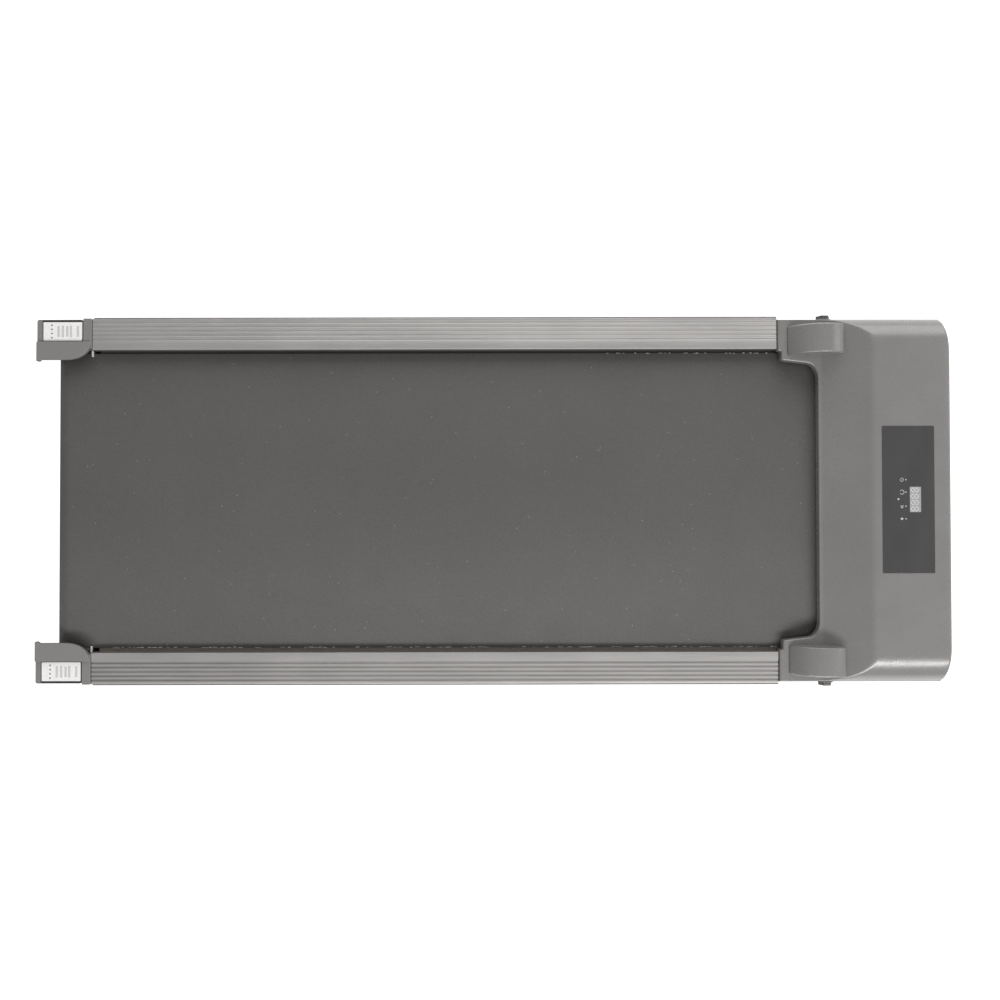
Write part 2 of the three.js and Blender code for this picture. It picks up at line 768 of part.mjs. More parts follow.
function buildFittings() {
  const fittings = assembly("front_fittings");
  addPiece(fittings, "power_inlet", powerInlet(), "black");
  addPiece(fittings, "switch_housing", switchHousing(), "black");
  const place = [SWITCH.pivotX, SWITCH.y, FITTING_Z];
  const paddle = addPiece(fittings, "rocker_switch", rockerPaddle(), "red", ...place);
  paddle.rotation.y = THREE.MathUtils.degToRad(SWITCH.swing);
  addPiece(fittings, "breaker_housing", breakerHousing(), "black", 600, BREAKER.y, FITTING_Z);
  const button = [NOSE - 21, BREAKER.y, FITTING_Z];
  addPiece(fittings, "breaker_button", breakerButton(), "black", ...button);
}

// Side rails and rear end caps.

const RIB = { count: 5, pitch: 5.8, depth: 1.4, first: 219 };

// End view of the left rail: flat tread, five ribs, outer skirt, inner lip and two webs.
function railSection() {
  const under = RAIL_TOP - 3;
  const points = [[RAIL_INNER, RAIL_TOP - 10], [RAIL_INNER + 2.5, RAIL_TOP - 10]];
  points.push([RAIL_INNER + 2.5, under]);
  for (const web of [224, 238])
    points.push([web, under], [web, TUBE_TOP + GAP], [web + 2, TUBE_TOP + GAP], [web + 2, under]);
  const lip = RAIL_TOP - 14;
  points.push([RAIL_OUTER - 2.5, under], [RAIL_OUTER - 2.5, lip], [RAIL_OUTER, lip]);
  points.push([RAIL_OUTER, RAIL_TOP - 1]);
  points.push([RAIL_OUTER - 1, RAIL_TOP]);
  for (let rib = RIB.count - 1; rib >= 0; rib -= 1) {
    const start = RIB.first + rib * RIB.pitch;
    points.push([start + 3.4, RAIL_TOP], [start + 2.6, RAIL_TOP - RIB.depth]);
    points.push([start + 0.8, RAIL_TOP - RIB.depth], [start, RAIL_TOP]);
  }
  points.push([RAIL_INNER + 1, RAIL_TOP], [RAIL_INNER, RAIL_TOP - 1]);
  return outline(points);
}

const CAP = { front: RAIL_REAR - 0.6, inner: 208.6, outer: 250, top: 97, low: 24 };
const SHIELD = { inner: 193, outer: 218, top: 100, low: 87, corner: { x: 26, y: 20 } };
const LABEL = { x0: -614.5, x1: -562.5, y0: 220.5, y1: 244.5, thick: 0.8 };

function shieldPlan(inset) {
  const { inner, outer, corner } = SHIELD;
  const front = CAP.front - inset;
  const rear = REAR + 1.5 + inset;
  const edge = inner + inset;
  const [a, b] = [corner.x - inset, corner.y - inset];
  const shape = new THREE.Shape();
  shape.moveTo(rear, outer);
  shape.lineTo(rear, edge);
  shape.lineTo(front - a, edge);
  shape.absellipse(front - a, edge + b, a, b, -Math.PI / 2, 0, false, 0);
  shape.lineTo(front, outer);
  return shape;
}

function endCap() {
  const plan = roundedRectangle(REAR, CAP.front, CAP.inner, CAP.outer, 6);
  const body = solidOf(prism("z", plan, CAP.low, CAP.top, 2));
  const shield = solidOf(prism("z", shieldPlan(0), SHIELD.low, SHIELD.top, 4));
  const shieldHollow = solidOf(prism("z", shieldPlan(2.5), SHIELD.low - 5, SHIELD.top - 2.5, 4));
  const shell = join(body, cut(shield, shieldHollow));
  const tubeSpace = solidBlock(-612, CAP.front + 5, TUBE_INNER - 1, TUBE_OUTER + 3, CAP.low - 5, 93);
  const axleSlot = solidBlock(-598, CAP.front + 5, 200, TUBE_INNER, ROLLER_Z - 9, ROLLER_Z + 9);
  const boltHole = solidBar("x", TENSION.shank + 0.5, -640, -590, TENSION.y, ROLLER_Z, 12);
  const headSpace = solidBar("x", TENSION.head + 0.8, -640, -612.6, TENSION.y, ROLLER_Z, 16);
  const { x0, x1, y0, y1, thick } = LABEL;
  const recess = solidBlock(x0 - 1, x1 + 1, y0 - 1, y1 + 1, CAP.top - thick - GAP, CAP.top + 5);
  return cut(shell, tubeSpace, axleSlot, boltHole, headSpace, recess);
}

function indexLabel() {
  const { x0, x1, y0, y1, thick } = LABEL;
  return solidOf(prism("z", roundedRectangle(x0, x1, y0, y1, 2), CAP.top - thick, CAP.top, 1));
}

// A nylon finger beside the belt that keeps its edge off the rail.
function beltGuide() {
  const leg = solidBlock(-556, -552, 203.8, 208.2, 52, 87);
  const hook = solidBlock(-556, -552, 199.5, 204.5, 84.8, 87);
  return join(leg, hook);
}

function buildTrim() {
  const trim = assembly("trim");
  const rail = solidOf(prism("x", railSection(), RAIL_REAR, RAIL_FRONT));
  addPair(trim, "side_rail", rail, "aluminium");
  addPair(trim, "end_cap", endCap(), "cap");
  addPair(trim, "index_label", indexLabel(), "label");
  addPair(trim, "belt_guide", beltGuide(), "nylon");
}

// Feet and transport wheels.

function foot() {
  return turned([
    [0, 0],
    [13, 0],
    [15, 2],
    [16, CLEARANCE - GAP],
    [0, CLEARANCE - GAP],
  ], 20).rotateX(Math.PI / 2);
}

function transportWheel() {
  const { radius, width, axle: pin } = WHEEL;
  const half = width / 2;
  const bore = pin + GAP;
  return turned([
    [bore, -half],
    [8, -half],
    [8, -half + 2],
    [radius - 5, -half + 2],
    [radius - 5, -half],
    [radius - 2, -half],
    [radius, -half + 2],
    [radius, half - 2],
    [radius - 2, half],
    [radius - 5, half],
    [radius - 5, half - 2],
    [8, half - 2],
    [8, half],
    [bore, half],
    [bore, -half],
  ], 20);
}

function buildGround() {
  const ground = assembly("ground_contact");
  for (const [side, sign] of [
    ["left", 1],
    ["right", -1],
  ]) {
    for (const [end, x] of [
      ["rear", -520],
      ["front", 405],
    ])
      addPiece(ground, `foot_${end}_${side}`, foot(), "rubber", x, sign * 228, 0);
    const hub = [WHEEL.x, sign * WHEEL.y, WHEEL.z];
    const pin = bar("y", WHEEL.axle, -14, 14, 0, 0, 16);
    addPiece(ground, `wheel_axle_${side}`, pin, "steel", ...hub);
    addPiece(ground, `wheel_${side}`, transportWheel(), "black", ...hub);
  }
}

buildFrame();
buildDeck();
buildRollers();
buildDrive();
buildElectronics();
buildHood();
buildFittings();
buildTrim();
buildGround();

export default treadmill;
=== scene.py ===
"""Looks of the under-desk treadmill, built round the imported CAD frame.

Lengths are in metres. +X runs forward to the motor hood, +Y is the left side, +Z is up.
"""

import json
import math
import random

import bmesh
import bpy
import numpy as np
from mathutils import Matrix, Vector


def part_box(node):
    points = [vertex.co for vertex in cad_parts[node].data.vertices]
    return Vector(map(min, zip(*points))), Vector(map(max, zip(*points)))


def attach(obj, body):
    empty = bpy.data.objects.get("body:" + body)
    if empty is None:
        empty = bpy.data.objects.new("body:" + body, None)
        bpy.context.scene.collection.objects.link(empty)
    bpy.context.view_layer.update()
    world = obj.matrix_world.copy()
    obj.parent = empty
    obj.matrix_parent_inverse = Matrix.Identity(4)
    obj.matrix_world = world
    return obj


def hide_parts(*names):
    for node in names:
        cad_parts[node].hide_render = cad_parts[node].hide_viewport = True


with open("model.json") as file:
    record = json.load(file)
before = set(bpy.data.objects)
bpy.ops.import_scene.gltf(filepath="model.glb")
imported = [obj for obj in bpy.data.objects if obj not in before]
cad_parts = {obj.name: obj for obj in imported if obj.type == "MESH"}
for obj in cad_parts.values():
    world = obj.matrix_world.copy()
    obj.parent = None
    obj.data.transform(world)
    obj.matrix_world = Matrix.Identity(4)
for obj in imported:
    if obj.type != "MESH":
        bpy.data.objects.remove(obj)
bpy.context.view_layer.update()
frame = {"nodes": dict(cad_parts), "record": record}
NODES = frame["nodes"]

MM = 0.001
CHASSIS = "chassis"
SIDES = (("left", 1), ("right", -1))


# ---------------------------------------------------------------- mesh helpers


def link(name, mesh, body=CHASSIS, replaces=()):
    """Puts a mesh in the scene as a piece that rides on a body."""
    obj = bpy.data.objects.new(name, mesh)
    bpy.context.scene.collection.objects.link(obj)
    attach(obj, body)
    if replaces:
        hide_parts(*replaces)
    return obj


def mesh_from(name, verts, faces):
    mesh = bpy.data.meshes.new(name)
    mesh.from_pydata([tuple(v) for v in verts], [], faces)
    mesh.validate()
    bm = bmesh.new()
    bm.from_mesh(mesh)
    bmesh.ops.remove_doubles(bm, verts=bm.verts, dist=1e-7)
    bmesh.ops.recalc_face_normals(bm, faces=bm.faces)
    bm.to_mesh(mesh)
    bm.free()
    return mesh


def smooth(mesh, angle=35):
    """Smooth shading that keeps edges sharper than the angle, in degrees, crisp."""
    mesh.shade_smooth()
    mesh.set_sharp_from_angle(angle=math.radians(angle))


def apply_modifiers(obj):
    depsgraph = bpy.context.evaluated_depsgraph_get()
    finished = bpy.data.meshes.new_from_object(obj.evaluated_get(depsgraph))
    obj.modifiers.clear()
    obj.data = finished


def settle_normals(obj, angle=35):
    """Smooth shading in which the big flat faces stay flat beside their rounded edges."""
    smooth(obj.data, angle)
    weighted = obj.modifiers.new("weighted", "WEIGHTED_NORMAL")
    weighted.keep_sharp = True
    apply_modifiers(obj)


def bevelled(obj, width, segments=3, angle=40):
    bevel = obj.modifiers.new("bevel", "BEVEL")
    bevel.width = width
    bevel.segments = segments
    bevel.limit_method = "ANGLE"
    bevel.angle_limit = math.radians(angle)
    apply_modifiers(obj)
    settle_normals(obj)
    return obj


def carve(obj, *cutters):
    """Cuts the cutter meshes out of a closed object."""
    for mesh in cutters:
        tool = bpy.data.objects.new("cutter", mesh)
        bpy.context.scene.collection.objects.link(tool)
        boolean = obj.modifiers.new("cut", "BOOLEAN")
        boolean.operation = "DIFFERENCE"
        boolean.solver = "EXACT"
        boolean.object = tool
        apply_modifiers(obj)
        bpy.data.objects.remove(tool)
    return obj


PLACE = {
    "x": lambda u, v, w: (w, u, v),
    "y": lambda u, v, w: (u, w, v),
    "z": lambda u, v, w: (u, v, w),
}


def prism(name, outline, axis, low, high):
    """An outline pushed along an axis: (y, z) along x, (x, z) along y, (x, y) along z."""
    place = PLACE[axis]
    count = len(outline)
    verts = [place(u, v, low) for u, v in outline] + [place(u, v, high) for u, v in outline]
    faces = [tuple(range(count)), tuple(range(count, 2 * count))]
    for i in range(count):
        j = (i + 1) % count
        faces.append((i, j, count + j, count + i))
    return mesh_from(name, verts, faces)


def box(name, low, high):
    outline = [(low[0], low[1]), (high[0], low[1]), (high[0], high[1]), (low[0], high[1])]
    return prism(name, outline, "z", low[2], high[2])


def arc(cu, cv, radius, start, end, steps):
    """Points on a circular arc between two angles in degrees."""
    angles = [math.radians(start + (end - start) * i / steps) for i in range(steps + 1)]
    return [(cu + radius * math.cos(a), cv + radius * math.sin(a)) for a in angles]


def rounded_rectangle(u0, u1, v0, v1, radius, steps=6):
    points = []
    corners = ((u1, v0, -90), (u1, v1, 0), (u0, v1, 90), (u0, v0, 180))
    for u, v, start in corners:
        cu = u - radius if u == u1 else u + radius
        cv = v - radius if v == v1 else v + radius
        points += arc(cu, cv, radius, start, start + 90, steps)
    return points


def turned(name, profile, axis, centre, segments=64):
    """A profile of (radius, height) points turned about an axis through the centre."""
    rings = []
    for radius, height in profile:
        ring = []
        for i in range(segments):
            angle = 2 * math.pi * i / segments
            a, b = radius * math.cos(angle), radius * math.sin(angle)
            offset = {"x": (height, a, b), "y": (b, height, a), "z": (a, b, height)}[axis]
            ring.append(Vector(centre) + Vector(offset))
        rings.append(ring)
    verts = [v for ring in rings for v in ring]
    faces = []
    for r in range(len(rings) - 1):
        for i in range(segments):
            j = (i + 1) % segments
            base, above = r * segments, (r + 1) * segments
            faces.append((base + i, base + j, above + j, above + i))
    if profile[0] != profile[-1]:
        faces.append(tuple(range(segments)))
        faces.append(tuple(range((len(rings) - 1) * segments, len(rings) * segments)))
    return mesh_from(name, verts, faces)


def joined(name, meshes):
    """Several meshes as one."""
    bm = bmesh.new()
    for mesh in meshes:
        bm.from_mesh(mesh)
    whole = bpy.data.meshes.new(name)
    bm.to_mesh(whole)
    bm.free()
    return whole


def mirrored(mesh, name):
    """The right-hand twin of a left-hand mesh."""
    twin = mesh.copy()
    twin.name = name
    twin.transform(Matrix.Scale(-1, 4, (0, 1, 0)))
    twin.flip_normals()
    return twin


# ---------------------------------------------------------------- material helpers


class Nodes:
    """A short way to write a node tree for one material."""

    def __init__(self, name, color, roughness, metallic=0.0):
        self.material = bpy.data.materials.new(name)
        self.material.use_nodes = True
        self.tree = self.material.node_tree
        self.shader = self.tree.nodes["Principled BSDF"]
        self.shader.inputs["Base Color"].default_value = (*color, 1)
        self.shader.inputs["Roughness"].default_value = roughness
        self.shader.inputs["Metallic"].default_value = metallic
        self.coords = self.tree.nodes.new("ShaderNodeTexCoord")

    def add(self, kind, **values):
        node = self.tree.nodes.new("ShaderNode" + kind)
        for key, value in values.items():
            if key in ("operation", "feature", "blend_type", "wave_type", "bands_direction"):
                setattr(node, key, value)
            else:
                node.inputs[key].default_value = value
        return node

    def wire(self, source, target):
        self.tree.links.new(source, target)

    def stretched(self, scale):
        """Object coordinates scaled along each axis."""
        mapping = self.tree.nodes.new("ShaderNodeMapping")
        mapping.inputs["Scale"].default_value = scale
        self.wire(self.coords.outputs["Object"], mapping.inputs["Vector"])
        return mapping.outputs["Vector"]

    def noise(self, scale=(1, 1, 1), size=0.001, detail=4.0, roughness=0.55):
        """Noise whose cells are about `size` metres across."""
        node = self.add("TexNoise", Scale=1 / size, Detail=detail, Roughness=roughness)
        self.wire(self.stretched(scale), node.inputs["Vector"])
        return node.outputs["Fac"]

    def ramp(self, value, stops):
        """A colour ramp over a value; stops are (position, linear grey or colour)."""
        node = self.tree.nodes.new("ShaderNodeValToRGB")
        elements = node.color_ramp.elements
        while len(elements) < len(stops):
            elements.new(0.5)
        for element, (position, color) in zip(elements, stops):
            element.position = position
            rgb = color if isinstance(color, tuple) else (color,) * 3
            element.color = (*rgb, 1)
        self.wire(value, node.inputs["Fac"])
        return node.outputs["Color"]

    def math(self, operation, a, b=0.0):
        node = self.add("Math", operation=operation)
        for socket, value in zip(node.inputs, (a, b)):
            if isinstance(value, (int, float)):
                socket.default_value = value
            else:
                self.wire(value, socket)
        return node.outputs["Value"]

    def rise(self, value, near, far, low=0.0, high=1.0):
        """Goes from low to high as a value goes from near to far."""
        ends = {"From Min": near, "From Max": far, "To Min": low, "To Max": high}
        node = self.add("MapRange", **ends)
        self.wire(value, node.inputs["Value"])
        return node.outputs["Result"]

    def mix(self, factor, a, b, blend="MIX"):
        node = self.tree.nodes.new("ShaderNodeMix")
        node.data_type = "RGBA"
        node.blend_type = blend
        for key, value in (("Factor", factor), ("A", a), ("B", b)):
            sockets = [s for s in node.inputs if s.name == key and s.enabled]
            socket = sockets[0]
            if isinstance(value, (int, float)):
                socket.default_value = value if key == "Factor" else (value,) * 3 + (1,)
            elif isinstance(value, tuple):
                socket.default_value = (*value, 1)
            else:
                self.wire(value, socket)
        return [s for s in node.outputs if s.enabled][0]

    def surface(self, color, rough):
        """Connects the shader's colour and roughness."""
        self.wire(color, self.shader.inputs["Base Color"])
        self.wire(rough, self.shader.inputs["Roughness"])

    def bump(self, heights, distance):
        """Raises the surface by each (height output, strength) in turn."""
        normal = None
        for height, strength in heights:
            node = self.add("Bump", Strength=strength, Distance=distance)
            self.wire(height, node.inputs["Height"])
            if normal:
                self.wire(normal, node.inputs["Normal"])
            normal = node.outputs["Normal"]
        self.wire(normal, self.shader.inputs["Normal"])

    def edge_wear(self, amount=0.5, reach=0.0008):
        """A mask that is bright within a short reach of an edge, broken up by noise."""
        geometry = self.tree.nodes.new("ShaderNodeNewGeometry")
        rounded = self.add("Bevel", Radius=reach)
        bend = self.tree.nodes.new("ShaderNodeVectorMath")
        bend.operation = "DOT_PRODUCT"
        self.wire(rounded.outputs["Normal"], bend.inputs[0])
        self.wire(geometry.outputs["Normal"], bend.inputs[1])
        edge = self.ramp(bend.outputs["Value"], [(0.88, 1.0), (0.99, 0.0)])
        broken = self.ramp(self.noise(size=0.004, detail=6), [(0.4, 0.0), (0.62, 1.0)])
        return self.math("MULTIPLY", self.math("MULTIPLY", edge, broken), amount)


def assign(obj, material):
    obj.data.materials.clear()
    obj.data.materials.append(material)


def tinted(color, factor):
    return tuple(c * factor for c in color)


# ---------------------------------------------------------------- materials


HOOD_GREY = (0.272, 0.263, 0.257)
CAP_GREY = (0.228, 0.220, 0.212)
ALUMINIUM = (0.47, 0.456, 0.445)
BELT_GREY = (0.112, 0.109, 0.105)
BLACK = (0.018, 0.018, 0.019)
# where the painted shade on the deck's left begins
LEFT_SHADE_Y = 0.19


def silver_paint():
    """Silver-grey paint on moulded plastic: orange peel, fine metal flake, faint wear."""
    m = Nodes("silver_paint", HOOD_GREY, 0.28, 0.3)
    flake = m.ramp(m.noise(size=0.0006, detail=2), [(0.35, 0.93), (0.5, 1.0), (0.72, 1.09)])
    cloud = m.ramp(m.noise(size=0.09, detail=3), [(0.3, 0.96), (0.7, 1.04)])
    color = m.mix(1.0, m.mix(1.0, HOOD_GREY, flake, "MULTIPLY"), cloud, "MULTIPLY")
    worn = m.mix(m.edge_wear(0.35), color, tinted(HOOD_GREY, 1.5))
    rough = m.ramp(m.noise(size=0.02, detail=5), [(0.3, 0.25), (0.7, 0.31)])
    m.surface(worn, rough)
    m.bump([(m.noise(size=0.0022, detail=3), 0.06), (m.noise(size=0.0005), 0.05)], 0.0004)
    return m.material


def cap_plastic():
    """Grey moulded plastic with a spark-eroded grain."""
    m = Nodes("cap_plastic", CAP_GREY, 0.55)
    m.shader.inputs["Coat Weight"].default_value = 0.9
    m.shader.inputs["Coat Roughness"].default_value = 0.15
    grain = m.noise(size=0.0009, detail=5, roughness=0.7)
    shade = m.ramp(grain, [(0.3, tinted(CAP_GREY, 0.86)), (0.7, tinted(CAP_GREY, 1.14))])
    worn = m.mix(m.edge_wear(0.4), shade, tinted(CAP_GREY, 1.6))
    rough = m.ramp(m.noise(size=0.012), [(0.3, 0.48), (0.7, 0.62)])
    m.surface(worn, rough)
    m.bump([(grain, 0.35)], 0.0003)
    return m.material


def rail_aluminium():
    """Anodised extrusion: die lines along X, soft mottling, scuffs, and painted shade that darkens the
    grooves the deeper they sink.
    """
    m = Nodes("rail_aluminium", ALUMINIUM, 0.42, 0.55)
    place = m.add("SeparateXYZ")
    m.wire(m.coords.outputs["Object"], place.inputs[0])
    sunk = m.math("SUBTRACT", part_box("side_rail_left")[1].z, place.outputs["Z"])
    centimetres = m.math("MULTIPLY", sunk, 100)
    # painted shade: the colour darkens with depth below the rail's top, to 0.58 at 1.7 mm down
    dust_and_shade = m.ramp(centimetres, [(0.02, 1.0), (0.17, 0.58)])
    lines = m.noise(scale=(0.012, 1, 1), size=0.0007, detail=6, roughness=0.6)
    mottle = m.noise(scale=(0.4, 1, 1), size=0.05, detail=4)
    shade = m.ramp(lines, [(0.3, tinted(ALUMINIUM, 0.93)), (0.7, tinted(ALUMINIUM, 1.06))])
    cloud = m.ramp(mottle, [(0.3, 0.93), (0.7, 1.06)])
    color = m.mix(1.0, m.mix(1.0, shade, cloud, "MULTIPLY"), dust_and_shade, "MULTIPLY")
    scuffs = m.noise(scale=(0.15, 1, 1), size=0.006, detail=8, roughness=0.75)
    scuffed = m.mix(m.ramp(scuffs, [(0.66, 0.0), (0.74, 0.35)]), color, tinted(ALUMINIUM, 0.6))
    m.surface(scuffed, m.ramp(lines, [(0.3, 0.36), (0.7, 0.5)]))
    m.bump([(lines, 0.08)], 0.0002)
    return m.material


def belt_surface():
    """Dark PVC with a fine pebbled tread, pale lint specks, tracks worn by feet and painted shade where
    it turns down over the rollers.
    """
    m = Nodes("belt_surface", BELT_GREY, 0.62)
    pebble = m.add("TexVoronoi", Scale=1 / 0.0016, Randomness=0.75)
    m.wire(m.stretched((1, 1, 1)), pebble.inputs["Vector"])
    grain = pebble.outputs["Distance"]
    base = m.ramp(grain, [(0.0, tinted(BELT_GREY, 1.15)), (0.7, tinted(BELT_GREY, 0.8))])
    cloud = m.ramp(m.noise(size=0.12, detail=5, roughness=0.6), [(0.3, 0.96), (0.7, 1.03)])
    color = m.mix(1.0, base, cloud, "MULTIPLY")
    lint = m.add("TexVoronoi", Scale=1 / 0.009, Randomness=1.0)
    m.wire(m.stretched((1, 1, 1)), lint.inputs["Vector"])
    speck = m.ramp(lint.outputs["Distance"], [(0.05, 0.75), (0.085, 0.0)])
    chosen = m.ramp(m.noise(size=0.02, detail=2), [(0.54, 0.0), (0.58, 1.0)])
    specks = m.math("MULTIPLY", speck, chosen)
    # painted shade: the colour drops to 0.3 where the belt faces forward or back over a roller
    facing = m.add("SeparateXYZ")
    m.wire(m.add("NewGeometry").outputs["Normal"], facing.inputs[0])
    roller_turn_shade = m.ramp(m.math("ABSOLUTE", facing.outputs["X"]), [(0.90, 1.0), (0.97, 0.3)])
    speckled = m.mix(specks, color, (0.42, 0.41, 0.40))
    rough = m.ramp(m.noise(size=0.05, detail=4), [(0.3, 0.59), (0.7, 0.65)])
    m.surface(m.mix(1.0, speckled, roller_turn_shade, "MULTIPLY"), rough)
    m.bump([(grain, 0.5), (m.noise(size=0.0004), 0.2)], 0.00025)
    return m.material


def moulded_black(name="moulded_black", color=BLACK, roughness=0.5):
    m = Nodes(name, color, roughness)
    grain = m.noise(size=0.0008, detail=5, roughness=0.7)
    shade = m.ramp(grain, [(0.3, tinted(color, 0.8)), (0.7, tinted(color, 1.3))])
    rough = m.ramp(m.noise(size=0.01), [(0.3, roughness - 0.06), (0.7, roughness + 0.08)])
    m.surface(m.mix(m.edge_wear(0.3), shade, tinted(color, 3.5)), rough)
    m.bump([(grain, 0.3)], 0.0003)
    return m.material


def powder_coat():
    """Black powder-coated steel with its fine leathery texture."""
    m = Nodes("powder_coat", BLACK, 0.45)
    peel = m.noise(size=0.0014, detail=4)
    shade = m.ramp(peel, [(0.3, tinted(BLACK, 0.85)), (0.7, tinted(BLACK, 1.25))])
    rough = m.ramp(m.noise(size=0.03), [(0.3, 0.38), (0.7, 0.52)])
    m.surface(m.mix(m.edge_wear(0.5), shade, (0.12, 0.12, 0.12)), rough)
    m.bump([(peel, 0.35)], 0.0004)
    return m.material


def rubber():
    m = Nodes("rubber", (0.02, 0.02, 0.02), 0.8)
    dust_and_shade = m.noise(size=0.008, detail=7, roughness=0.7)
    shade = m.ramp(dust_and_shade, [(0.35, (0.016, 0.016, 0.016)), (0.75, (0.05, 0.048, 0.045))])
    m.surface(shade, m.ramp(dust_and_shade, [(0.3, 0.72), (0.7, 0.9)]))
    m.bump([(m.noise(size=0.0012, detail=5), 0.4)], 0.0004)
    return m.material


def zinc_steel():
    """Zinc-plated steel with faint turning marks and spangle."""
    m = Nodes("zinc_steel", (0.56, 0.56, 0.55), 0.34, 0.9)
    spangle = m.noise(size=0.004, detail=6)
    shade = m.ramp(spangle, [(0.3, (0.44, 0.44, 0.44)), (0.7, (0.64, 0.64, 0.62))])
    rough = m.ramp(spangle, [(0.3, 0.26), (0.7, 0.42)])
    m.surface(m.mix(m.edge_wear(0.5), shade, (0.8, 0.8, 0.78)), rough)
    m.bump([(m.noise(size=0.0006, detail=3), 0.12)], 0.0002)
    return m.material


def bolt_steel():
    """Darkened bolt steel."""
    m = Nodes("bolt_steel", (0.16, 0.15, 0.15), 0.4, 0.7)
    stain = m.noise(size=0.003, detail=6)
    shade = m.ramp(stain, [(0.3, (0.09, 0.085, 0.085)), (0.7, (0.24, 0.23, 0.225))])
    rough = m.ramp(stain, [(0.3, 0.32), (0.7, 0.5)])
    m.surface(m.mix(m.edge_wear(0.6), shade, (0.55, 0.54, 0.52)), rough)
    m.bump([(stain, 0.15)], 0.0002)
    return m.material


def deck_face():
    """Waxed brown face of the fibreboard deck, painted near black on the left, beyond the belt's edge, as
    shade in the narrow gap there.
    """
    m = Nodes("deck_face", (0.26, 0.225, 0.19), 0.5)
    fibre = m.noise(scale=(0.2, 1, 1), size=0.0012, detail=6)
    shade = m.ramp(fibre, [(0.3, (0.20, 0.175, 0.148)), (0.7, (0.32, 0.277, 0.234))])
    place = m.add("SeparateXYZ")
    m.wire(m.coords.outputs["Object"], place.inputs[0])
    # painted shade: beyond the belt's left edge the colour is mixed 90 % towards black
    in_left_gap = m.math("GREATER_THAN", place.outputs["Y"], LEFT_SHADE_Y)
    left_gap_shade = m.math("MULTIPLY", in_left_gap, 0.9)
    m.wire(m.mix(left_gap_shade, shade, BLACK), m.shader.inputs["Base Color"])
    m.bump([(fibre, 0.3)], 0.0003)
    return m.material


def panel_film():
    """Dark printed film under a smooth clear coat, with faint smears."""
    color = (0.050, 0.0475, 0.049)
    m = Nodes("panel_film", color, 0.35)
    m.shader.inputs["Coat Weight"].default_value = 0.4
    m.shader.inputs["Coat Roughness"].default_value = 0.2
    smear = m.noise(scale=(1, 0.3, 1), size=0.03, detail=6)
    shade = m.ramp(smear, [(0.3, tinted(color, 0.94)), (0.7, tinted(color, 1.07))])
    m.surface(shade, m.ramp(smear, [(0.3, 0.3), (0.7, 0.42)]))
    m.bump([(m.noise(size=0.0007), 0.05)], 0.0001)
    return m.material


def print_ink(name, color, roughness=0.45):
    """Flat printed or moulded colour with slight unevenness."""
    m = Nodes(name, color, roughness)
    tone = m.noise(size=0.0015, detail=4)
    shade = m.ramp(tone, [(0.3, tinted(color, 0.9)), (0.7, tinted(color, 1.06))])
    m.surface(shade, m.ramp(tone, [(0.3, roughness - 0.05), (0.7, roughness + 0.08)]))
    m.bump([(tone, 0.1)], 0.0001)
    return m.material


def circuit_board():
    m = Nodes("circuit_board", (0.02, 0.10, 0.05), 0.4)
    dark, light, track = (0.018, 0.10, 0.05, 1), (0.022, 0.12, 0.06, 1), (0.04, 0.17, 0.09, 1)
    tracks = m.add("TexBrick", Scale=160.0, Color1=dark, Color2=light, Mortar=track)
    m.wire(m.stretched((1, 1, 1)), tracks.inputs["Vector"])
    m.wire(tracks.outputs["Color"], m.shader.inputs["Base Color"])
    m.bump([(tracks.outputs["Fac"], 0.2)], 0.0002)
    return m.material


MATERIALS = {
    "hood": silver_paint(),
    "cap": cap_plastic(),
    "aluminium": rail_aluminium(),
    "belt": belt_surface(),
    "black": moulded_black(),
    "frame": powder_coat(),
    "rubber": rubber(),
    "steel": zinc_steel(),
    "board": deck_face(),
    "panel": panel_film(),
    "label": print_ink("label_paper", (0.95, 0.94, 0.93)),
    "nylon": print_ink("nylon", (0.84, 0.83, 0.80)),
    "circuit": circuit_board(),
    "red": print_ink("switch_red", (0.32, 0.02, 0.016), 0.35),
}
BOLT_STEEL = bolt_steel()
LIGHT_INK = print_ink("light_ink", (0.62, 0.61, 0.60))
GREY_INK = print_ink("grey_ink", (0.36, 0.35, 0.35))
ICON_INK = print_ink("icon_ink", (0.60, 0.59, 0.59))
DOT_INK = print_ink("dot_ink", (0.16, 0.16, 0.17))
DISPLAY_GREY = print_ink("display_grey", (0.39, 0.38, 0.39))
SEGMENT_WHITE = print_ink("segment_white", (0.62, 0.61, 0.62))
THREAD = print_ink("belt_thread", (0.60, 0.58, 0.55), 0.8)

for part in frame["record"]["subparts"]:
    assign(NODES[part["node"]], MATERIALS[part["material_slot"]])


# ---------------------------------------------------------------- motor hood


HOOD_LOW, HOOD_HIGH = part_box("motor_hood")
HOOD_HALF = HOOD_HIGH.y
HOOD_TOP = HOOD_HIGH.z
ROLL_WIDE = 40 * MM
ROLL_DEEP = 32 * MM
ARM_TOP = 98 * MM
LIP_X = 0.443
LIP_END = 0.165
ARM_ROOT = 0.187
ARM_ROOT_X = 0.428
ARM_INNER = 0.1906
ARM_CORNER = 4 * MM
ARM_REAR_X = 0.393
ARM_STEP = 0.2036
ARM_STEP_DEEP = 5 * MM
ARM_STEP_WIDE = 1.4 * MM
SLOPE_X = 0.446
RIDGE_X = 0.506
RIDGE_SPAN = (0.492, 0.522)
CREASE = 1.8 * MM
CORNER_REACH = 50 * MM
CORNER_FOOT = 5 * MM
CORNER_HEAD = 25 * MM
LIP_FILLET = 1.3 * MM
ARM_FILLET = 2.6 * MM
HOOD_REAR_WALL = 88 * MM
WALL_TOP = 75 * MM
BROW_DROP = 4 * MM
BROW_REACH = 3.5 * MM


def smooth_min(a, b, k):
    h = np.clip(0.5 + 0.5 * (b - a) / k, 0, 1)
    return b * (1 - h) + a * h - k * h * (1 - h)


